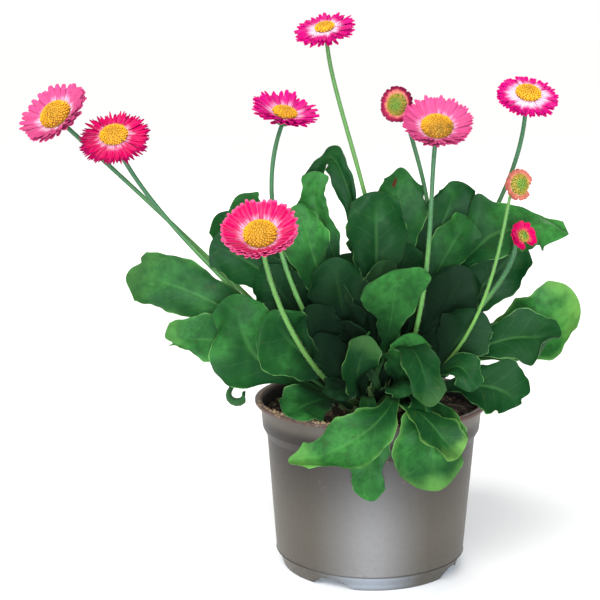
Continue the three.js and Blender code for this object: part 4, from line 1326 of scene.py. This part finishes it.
# How far chance moves a petal's turn, its rise in degrees, its length, curl and twist
LOOSE = {"turn": 0.5, "rise": 7, "length": 0.14, "curl": 0.3, "twist": 0.5}
LEAST_CURL = 0.02
LILAC = "F0A0C8"
PALE_RIM = "FF9CCB"


def on_bloom(flower, points):
    """Turns points made round +Z at the origin to the way the bloom faces, at its place."""
    return points @ turn_to(flower["facing"]).T + flower["at"]


def move_to_bloom(flower, piece):
    move_points(piece, on_bloom(flower, points_of(piece) / MM) * MM)


def petal_outline(v, width, point):
    """Half the width of a petal along its length, from a narrow claw to a round or pointed end."""
    claw = 0.35 + 0.65 * smooth(v / 0.5)
    end = np.clip((v - 0.82 + 0.35 * point) / (0.18 + 0.35 * point), 0, 1)
    return width / 2 * claw * (1 - 0.9 * end ** (2.4 - 1.3 * point)) ** (0.5 + 0.35 * point)


def petal_points(pattern, petal, level, start, thick, point):
    """Bends a strip into an arc that leaves the hub.

    The chord is the angle of the line between its ends, and the curl how far its slope changes.
    """
    u, v, w = pattern.points.T
    turn, length, chord, curl = (petal[key] for key in ("turn", "length", "chord", "curl"))
    half = petal_outline(v, petal["width"], point)
    notch = 0.12 * petal["width"] * (1 - point) * (1 - np.abs(u)) * smooth((v - 0.85) / 0.15)
    v = v - notch / length
    rise = chord - curl / 2
    slope = rise + curl * v
    out = start + length * (np.sin(slope) - math.sin(rise)) / curl
    up = level + length * (math.cos(rise) - np.cos(slope)) / curl
    top = np.array((0, 0, 1))
    radial = around(1, turn, 0)
    along = np.array((-math.sin(turn), math.cos(turn), 0))
    over = -np.sin(slope)[:, None] * radial + np.cos(slope)[:, None] * top
    roll = (petal["twist"] * v)[:, None]
    side = along * np.cos(roll) + over * np.sin(roll)
    over = over * np.cos(roll) - along * np.sin(roll)
    lift = w * thick + 0.28 * half * u * u
    middle = radial * out[:, None] + top * up[:, None]
    return middle + side * (half * u)[:, None] + over * lift[:, None]


def petal_finish(flower, settings):
    """Petal silk with fine lengthwise streaks, a pale foot and, on some blooms, a dark tip."""
    silk = Finish(
        flower["name"] + "_petal",
        {
            "Specular IOR Level": 0.03,
            "Subsurface Weight": 0.3,
            "Subsurface Radius": (1.0, 0.3, 0.6),
            "Subsurface Scale": 0.7 * MM,
        },
    )
    across, along = silk.strip()
    out = silk.math("ABSOLUTE", across)
    tone = silk.mark("tone")
    spot = silk.node("CombineXYZ", {}, {0: across * 3.2 + tone * 40, 1: along * 0.7})
    lines = silk.node("TexNoise", {"noise_dimensions": "2D"}, {"Vector": spot, "Scale": 1.4})
    clouds = silk.noise(silk.place(), 400, 2)
    main = getattr(settings, flower["paint"])
    streak, white = flower["streak"], flower["white"]
    veins = silk.fade(lines, 0.42, 0.62) * streak + (1 - streak)
    reach = along + (lines - 0.5) * 0.3 + (tone - 0.5) * 0.25
    foot = silk.fade(reach, white + 0.22, white * 0.5) * veins
    lilac = silk.fade(lines, 0.55, 0.68) * silk.fade(along, 0.95, 0.4) * streak
    base = silk.coats(
        main,
        (silk.fade(lines, 0.3, 0.7), dim(main, 0.76)),
        (silk.fade(tone, 0.6, 1.0) * 0.15, [0.8 * c + 0.08 for c in main]),
        (lilac * 0.2, LILAC),
        (foot * 0.92, flower["root"] or settings.base),
    )
    if flower["tip"]:
        dark = silk.fade(along + (clouds - 0.5) * 0.2, 0.55 if flower["bud"] else 0.8, 0.98)
        base = silk.mix(dark * 0.85, base, flower["tip"])
    if flower["pale_rim"]:
        light = silk.math("MAXIMUM", silk.fade(along, 0.84, 1.0), silk.fade(out, 0.75, 1.0) * 0.6)
        base = silk.mix(light * flower["pale_rim"], base, PALE_RIM)
    relief = silk.bump(lines, 0.1 * MM, 0.8)
    return silk.finish(base=base, roughness=0.5 + clouds * 0.15, normal=relief)


def within_side(radial, side, half_angle):
    """Whether a petal points within an angle of one side of its bloom."""
    return radial @ aim(side) > math.cos(math.radians(half_angle))


def draw_petal(flower, row, i, reach, share, chance):
    """Draws the turn, rise, length, curl, width, twist and tone of one petal, or leaves it out."""
    loose = flower["flutter"]
    past = row / flower["rows"]
    turn = i + past + LOOSE["turn"] * loose * (chance.random() - 0.5)
    turn = turn * math.tau / flower["count"]
    radial = turn_to(flower["facing"]) @ around(1, turn, 0)
    lower = PETAL_SPREAD * row / (flower["rows"] - 1)
    chord = flower["cup"] - lower + LOOSE["rise"] * loose * (chance.random() - 0.5)
    closed_side, closing = flower["closed"]
    chord = math.radians(chord + closing * max(0.0, radial @ aim(closed_side)))
    length = reach / math.cos(chord)
    shorter = LOOSE["length"] * loose * chance.random()
    length = length * (1.04 - shorter - 0.03 * row / flower["rows"])
    short_side, half_angle, kept = flower["short"]
    if within_side(radial, short_side, half_angle):
        length *= kept
    curl = flower["curl"] + LOOSE["curl"] * loose * (chance.random() - 0.4)
    width = flower["width"] * share * (0.8 + 0.4 * chance.random())
    twist = LOOSE["twist"] * loose * (chance.random() - 0.5)
    tone = chance.random()
    if any(within_side(radial, *gap) for gap in flower["missing"]):
        return None
    return {"turn": turn, "chord": chord, "length": length, "width": width, "twist": twist,
            "curl": curl if abs(curl) > LEAST_CURL else LEAST_CURL, "tone": tone}


class GrowPetals(bpy.types.Operator):
    """Sets rows of petals round each hub"""

    bl_idname = "daisy.petals"
    bl_label = "Petals"

    def execute(self, context):
        settings = context.scene.daisy_petals
        blank = strip(8, 2)
        blank.points[:, 1] = 1 - (1 - blank.points[:, 1]) ** TIP_ROWS
        blank.uv[:, 1] = 1 - (1 - np.clip(blank.uv[:, 1], 0, 1)) ** TIP_ROWS
        for order, flower in enumerate(BLOOMS):
            chance = chances("petals", order)
            sheaf = Sheaf()
            for row in range(flower["rows"]):
                self.add_row(sheaf, flower, row, settings, blank, chance)
            piece = sheaf.tie(flower["name"] + "_corolla")
            soften(piece, 60)
            dress(piece, petal_finish(flower, settings), flower["slot"], flower["name"] + "_petals")
        return {"FINISHED"}

    def add_row(self, sheaf, flower, row, settings, blank, chance):
        start = flower["disc"] - PETAL_FOOT["inside"]
        level = HUB - PETAL_FOOT["below"] - row * (PETAL_FOOT["rows"] / flower["rows"])
        thick = settings.thickness / MM
        for i in range(flower["count"]):
            petal = draw_petal(flower, row, i, flower["radius"] - start, settings.width, chance)
            if petal:
                points = petal_points(blank, petal, level, start, thick, flower["point"])
                sheaf.add(blank, on_bloom(flower, points), tone=petal["tone"])


# The way toward a disc's low side, away from the light, where painted shade browns the florets
LOW_SHADE_SIDE = np.array((0.3, -0.45, -0.84))
FLORET = [(0, -0.9), (0.55, -0.9), (0.7, 0.1), (1.0, 0.55), (0.72, 0.62), (0.42, 0.3), (0.3, 0.75),
          (0.0, 0.95)]
# The radius of the disc that has the full number of florets, and the height of a disc's rim
FULL_DISC = 7.4
DISC_LEVEL = 1.3
# A bud's green disc, with its own painted shade low between the florets
GREEN_DISC = {"gold": "AE8E38", "olive": "6C9A3A", "depth": "465618"}
LOW_SHADE_BROWN = "7A5A1C"
POLLEN = "FFDF5A"


def floret_pattern():
    """One disc floret: a five-sided tube that opens at the top round a small knob."""
    pattern = Pattern(turned("floret", FLORET, 5))
    pattern.points = pattern.points / MM
    return pattern


def disc_finish(green, settings):
    """Florets that are golden once open, with painted shade low between them and browning the low side
    of the disc, and dusted with pollen.
    """
    pollen = Finish(
        "green_disc" if green else "golden_disc",
        {"Specular IOR Level": 0.25, "Subsurface Weight": 0.1, "Subsurface Scale": 0.5 * MM},
    )
    gold, olive, depth = (
        GREEN_DISC[key] if green else getattr(settings, key) for key in ("gold", "olive", "depth")
    )
    rise = pollen.mark("rise")
    dust = pollen.noise(pollen.place(), 2600, 2)
    opened = pollen.mark("open") + (pollen.mark("tone") - 0.5) * 0.6
    dusted = pollen.fade(dust, 0.5, 0.7) * pollen.fade(rise, 0.5, 0.9)
    base = pollen.coats(
        olive,
        (opened, gold),
        # Painted shade browns the low side of the disc
        (pollen.mark("stale"), LOW_SHADE_BROWN),
        # Painted shade low on each floret, between them
        (pollen.fade(rise, 0.62, 0.2), depth),
        (dusted * (0.15 if green else 0.5), POLLEN),
    )
    relief = pollen.bump(dust, 0.15 * MM)
    return pollen.finish(base=base, roughness=0.62 + dust * 0.2, normal=relief)


def disc_core(flower, height):
    """The closed dome that the florets stand on."""
    radius = flower["disc"]
    dome = [
        (radius * 0.94 * math.cos(a), DISC_LEVEL + (height - 0.3) * math.sin(a))
        for a in np.linspace(0.15, math.pi / 2 - 0.05, 8)
    ]
    foot = [(0, 0.9), (radius * 0.92, 0.95), (radius * 0.96, DISC_LEVEL)]
    top = (0, DISC_LEVEL + height - 0.3)
    core = turned(flower["name"] + "_core", [*foot, *dome, top], 32)
    move_to_bloom(flower, core)
    return core


def add_floret(sheaf, floret, flower, i, count, chance):
    """Sets one floret in its place on the spiral. It is larger and more open further out."""
    radius = flower["disc"]
    share = math.sqrt((i + 0.5) / count)
    turn = i * GOLDEN + 1.1 * (chance.random() - 0.5) / math.sqrt(i + 1)
    drop = math.sqrt(max(0.0, 1 - share**2 * 0.96))
    at = around(radius * share * 0.97, turn, DISC_LEVEL + radius * flower["dome"] * drop - 0.35)
    way = unit(np.array((math.cos(turn) * share * 0.8, math.sin(turn) * share * 0.8, 0.9)))
    opened = float(smooth((share - 0.25) / 0.6))
    girth = radius * 0.98 / math.sqrt(count) * (0.78 + 0.16 * opened) * (0.9 + 0.2 * chance.random())
    tall = girth * (1.0 + 0.4 * opened) * (0.85 + 0.3 * chance.random())
    shape = floret.points * (girth, girth, tall)
    points = on_bloom(flower, shape @ turn_to(way, chance.random() * 6).T + at)
    # Painted shade: florets on the low side of the disc, away from the light, get browner
    low = smooth((points.mean(axis=0) - flower["at"]) @ LOW_SHADE_SIDE / radius + 0.6)
    stale = flower["stale"] * low * (0.5 + 0.7 * chance.random())
    rise = (floret.points[:, 2] + 0.9) / 1.85
    sheaf.add(floret, points, open=opened, rise=rise, tone=chance.random(), stale=stale)


class GrowDiscs(bpy.types.Operator):
    """Packs each dome with florets in spirals"""

    bl_idname = "daisy.discs"
    bl_label = "Discs"

    def execute(self, context):
        settings = context.scene.daisy_discs
        floret = floret_pattern()
        finishes = {green: disc_finish(green, settings) for green in (False, True)}
        for order, flower in enumerate(BLOOMS):
            chance = chances("discs", order)
            count = int(settings.florets * (flower["disc"] / FULL_DISC) ** 1.4)
            sheaf = Sheaf()
            for i in range(count):
                add_floret(sheaf, floret, flower, i, count, chance)
            core = disc_core(flower, flower["disc"] * flower["dome"])
            piece = joined(sheaf.tie(flower["name"] + "_florets"), core)
            face_outward(piece)
            soften(piece, 55)
            slot = "disc_green" if flower["bud"] else "disc_yellow"
            dress(piece, finishes[flower["bud"]], slot, flower["name"] + "_disc")
        return {"FINISHED"}


# Stems, in millimetres

STEM_HAIRS = {"count": 420, "quick": 60, "from": 0.05, "to": 0.97, "thick": 0.03}
# The share of its radius that a stem has at its foot and at its top
STEM_TAPER = (1.12, 0.95)
BRACTS = {"rows": 2, "count": 9, "foot": 1.25, "low": -4.3, "high": 3.9}
# The radius of the cup's rim, as a share of the disc's
CUP_SHARE = 0.76
# Shares of the cup's radius, and heights from the middle of the hub
RECEPTACLE = [(0.4, -3.4), (0.7, -2.2), (0.95, -0.7), (1.1, 0.5)]
FRESH_STEM = "68983A"
STEM_SHADE = "0C1E0C"
SPECK_RED = "7A4A44"
HAIR_PALE = "C9D6B4"


def stem_finish(settings):
    stalk = Finish(
        "stem", {"Specular IOR Level": 0.35, "Subsurface Weight": 0.1, "Subsurface Scale": 0.8 * MM}
    )
    place = stalk.place()
    ribs = stalk.noise(stalk.stretched(place, (1, 1, 0.1)), 1500, 2)
    patches = stalk.noise(place, 120, 3)
    specks = stalk.fade(stalk.noise(place, 1300, 3, 0.6), 0.58, 0.7)
    base = stalk.coats(
        settings.low,
        (stalk.fade(stalk.mark("along") + (patches - 0.5) * 0.3, 0.2, 0.8), settings.high),
        (stalk.mark("fresh") * 0.6, FRESH_STEM),
        (stalk.fade(stalk.axis(place, "Z"), 124 * MM, 86 * MM) * 0.75, STEM_SHADE),
        (specks * 0.3, SPECK_RED),
        (stalk.mark("cup"), settings.bract),
        (stalk.mark("hair") * 0.8, HAIR_PALE),
    )
    relief = stalk.bump(ribs, 0.12 * MM)
    return stalk.finish(base=base, roughness=0.5 + ribs * 0.15, normal=relief)


def stem_tube(flower, settings):
    """The stem as a curve with the CAD stem's own control points, made a mesh."""
    let_go()
    bpy.ops.curve.primitive_bezier_curve_add(radius=1)
    stem = bpy.context.object
    curve = stem.data
    a, b, c, d = flower["stem"] * MM
    start, end = curve.splines[0].bezier_points
    for point in (start, end):
        point.handle_left_type = point.handle_right_type = "FREE"
    start.co, start.handle_right, start.handle_left = a, b, a - (b - a)
    end.co, end.handle_left, end.handle_right = d, c, d + (d - c)
    start.radius, end.radius = (share * flower["slim"] for share in STEM_TAPER)
    curve.bevel_depth = settings.radius
    curve.bevel_resolution = 2
    curve.resolution_u = 48
    curve.use_fill_caps = True
    pick(stem)
    bpy.ops.object.convert(target="MESH")
    points = points_of(stem) / MM
    steps = np.linspace(0, 1, 200)
    spine = bezier(flower["stem"], steps)
    nearest = np.argmin(((points[:, None] - spine[None]) ** 2).sum(-1), axis=1)
    keep_mark(stem, "along", steps[nearest])
    keep_mark(stem, "fresh", flower["fresh"])
    return stem


def add_stem_hair(sheaf, hair, flower, settings, chance):
    share = chance.uniform(STEM_HAIRS["from"], STEM_HAIRS["to"])
    centre = bezier(flower["stem"], share)
    way = heading(flower["stem"], share)
    out = unit(np.cross(way, chance.normal(size=3)))
    lean = unit(out + 0.5 * way * chance.normal())
    radius = settings.radius / MM * flower["slim"] * between(STEM_TAPER, share) - 0.05
    length = settings.hair / MM * chance.uniform(0.5, 1.3)
    foot, thick = centre + out * radius, STEM_HAIRS["thick"]
    add_hair(sheaf, hair, foot, lean, length, thick, along=share, hair=1.0)


def bract_points(pattern, turn, row, rim):
    """Bends a strip into one pointed bract of the cup."""
    u, v, w = pattern.points.T
    reach = BRACTS["foot"] + (rim - BRACTS["foot"]) * np.sin(v * math.pi / 2) ** 1.2
    height = BRACTS["low"] + BRACTS["high"] * v**1.8
    taper = np.sin(math.pi * np.clip(v * 0.86 + 0.1, 0, 1)) ** 0.7
    wide = math.tau * rim / BRACTS["count"] * 0.62 * taper
    angle = turn + u * wide / np.maximum(reach, 1.6)
    outward = reach + w * 0.35 + 0.3 * row - 0.25 * u * u
    return np.stack([outward * np.cos(angle), outward * np.sin(angle), height - w * 0.25], -1)


def receptacle(flower, rim):
    """The solid heart of the cup, which the bracts stand round."""
    sides = [(rim * share, height) for share, height in RECEPTACLE]
    core = turned("receptacle", [(0, -4.4), (1.2, -4.3), *sides, (0, 0.9)], 32)
    move_to_bloom(flower, core)
    keep_mark(core, "cup", 0.8)
    keep_mark(core, "along", 1.0)
    return core


class GrowStems(bpy.types.Operator):
    """Draws each stem, its hairs and the cup of bracts under its bloom"""

    bl_idname = "daisy.stems"
    bl_label = "Stems"

    def execute(self, context):
        settings = context.scene.daisy_stems
        finish = stem_finish(settings)
        blank = strip(10, 6)
        hair = spike()
        for order, flower in enumerate(BLOOMS):
            chance = chances("stems", order)
            tube = stem_tube(flower, settings)
            sheaf = Sheaf()
            for _ in range(STEM_HAIRS["count"]):
                add_stem_hair(sheaf, hair, flower, settings, chance)
            rim = flower["disc"] * CUP_SHARE
            for row in range(BRACTS["rows"]):
                for i in range(BRACTS["count"]):
                    turn = (i + row / 2 + 0.15 * chance.random()) * math.tau / BRACTS["count"]
                    points = on_bloom(flower, bract_points(blank, turn, row, rim))
                    sheaf.add(blank, points, along=1.0, cup=0.75 + 0.25 * chance.random())
            core = receptacle(flower, rim)
            piece = joined(tube, core, sheaf.tie("bracts"))
            piece.name = flower["name"] + "_stalk"
            soften(piece, 50)
            dress(piece, finish, "stem", flower["name"] + "_stem")
        return {"FINISHED"}


# Stage, in metres, with the camera's sensor in millimetres

FLOOR_RADIUS = 30
CAMERA = {"at": (-0.0321, -0.650, 0.2412), "down": 10.41, "near": 0.01}
SENSOR = 36
MIDDLE_OF_PLANT = Vector((-0.02, 0, 0.08))
OVERHEAD = {"from": (-0.35, -0.75, 1.0), "spread": 50, "tint": (1, 0.985, 0.95)}
FRONT_LIGHT = {"at": (-0.02, -1.5, 0.2), "size": (0.22, 0.7), "tint": (0.8, 0.88, 1)}
BACK_LIGHT = {"at": (0.1, 1.6, 1.0), "size": (1.6, 1.2), "tint": (1, 0.98, 0.95)}


def light_room(tree, strength):
    """The room looks white to the camera, and lights the plant more dimly than it looks."""
    room = tree.nodes["Background"]
    room.inputs["Color"].default_value = (1, 1, 1, 1)
    seen = tree.nodes.new("ShaderNodeLightPath")
    level = tree.nodes.new("ShaderNodeMapRange")
    level.inputs["To Min"].default_value = strength
    tree.links.new(seen.outputs["Is Camera Ray"], level.inputs["Value"])
    tree.links.new(level.outputs["Result"], room.inputs["Strength"])


def overhead_light(scene, strength):
    """A wide sun high at the front left."""
    light = bpy.data.objects.new("overhead_light", bpy.data.lights.new("overhead_light", "SUN"))
    scene.collection.objects.link(light)
    light.data.energy = strength
    light.data.angle = math.radians(OVERHEAD["spread"])
    light.data.color = OVERHEAD["tint"]
    light.rotation_euler = Vector(OVERHEAD["from"]).to_track_quat("Z", "Y").to_euler()


def soft_light(name, power, at, size, tint):
    let_go()
    bpy.ops.object.light_add(type="AREA", location=at)
    light = bpy.context.object
    light.name = name
    light.data.shape = "ELLIPSE"
    light.data.size, light.data.size_y = size
    light.data.energy = power
    light.data.color = tint
    light.visible_camera = False
    light.rotation_euler = (MIDDLE_OF_PLANT - Vector(at)).to_track_quat("-Z", "Y").to_euler()


def floor_finish(settings):
    matt = Finish("floor", {"Specular IOR Level": 0.1, "Roughness": 0.9})
    clouds = matt.noise(matt.place(), 3, 2)
    return matt.finish(base=matt.mix(clouds, settings.floor, dim(settings.floor, 0.985)))


class SetStage(bpy.types.Operator):
    """Lays the pale floor and sets the soft lights and the camera"""

    bl_idname = "daisy.stage"
    bl_label = "Stage"

    def execute(self, context):
        settings = context.scene.daisy_stage
        let_go()
        bpy.ops.mesh.primitive_circle_add(vertices=96, radius=FLOOR_RADIUS, fill_type="NGON")
        floor = context.object
        floor.name = "pale_floor"
        floor.data.materials.append(floor_finish(settings))
        world = bpy.data.worlds.new("soft_room")
        world.use_nodes = True
        context.scene.world = world
        light_room(world.node_tree, settings.room)
        overhead_light(context.scene, settings.sky)
        soft_light("front_light", settings.front, **FRONT_LIGHT)
        soft_light("back_light", settings.back, **BACK_LIGHT)
        level = math.radians(90 - CAMERA["down"])
        bpy.ops.object.camera_add(location=CAMERA["at"], rotation=(level, 0, 0))
        camera = context.object
        camera.data.lens = settings.lens
        camera.data.sensor_width = SENSOR
        camera.data.clip_start = CAMERA["near"]
        context.scene.camera = camera
        context.scene.view_settings.view_transform = "Standard"
        return {"FINISHED"}


SETTINGS = {
    "daisy_stage": StageSettings,
    "daisy_pot": PotSettings,
    "daisy_compost": CompostSettings,
    "daisy_leaves": LeafSettings,
    "daisy_stems": StemSettings,
    "daisy_petals": PetalSettings,
    "daisy_discs": DiscSettings,
}
STEPS = [SetStage, MakePot, FillPot, GrowCrown, GrowLeaves, GrowStems, GrowPetals, GrowDiscs]


class DaisyPanel(bpy.types.Panel):
    """Lists the steps that build the daisy"""

    bl_idname = "VIEW3D_PT_daisy"
    bl_label = "Potted English Daisy"
    bl_space_type = "VIEW_3D"
    bl_region_type = "UI"
    bl_category = "Daisy"

    def draw(self, context):
        for step in STEPS:
            self.layout.operator(step.bl_idname)
        for key, group in SETTINGS.items():
            box = self.layout.box()
            for name in group.__annotations__:
                box.prop(getattr(context.scene, key), name)


def register():
    for group in [*SETTINGS.values(), *STEPS, DaisyPanel]:
        bpy.utils.register_class(group)
    for key, group in SETTINGS.items():
        setattr(bpy.types.Scene, key, bpy.props.PointerProperty(type=group))


def unregister():
    for key in SETTINGS:
        delattr(bpy.types.Scene, key)
    for group in reversed([*SETTINGS.values(), *STEPS, DaisyPanel]):
        bpy.utils.unregister_class(group)


def main():
    register()
    bpy.ops.daisy.stage()
    bpy.ops.daisy.pot()
    bpy.ops.daisy.compost()
    bpy.ops.daisy.crown()
    bpy.ops.daisy.leaves()
    bpy.ops.daisy.stems()
    bpy.ops.daisy.petals()
    bpy.ops.daisy.discs()
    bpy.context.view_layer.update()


if __name__ == "__main__":
    main()
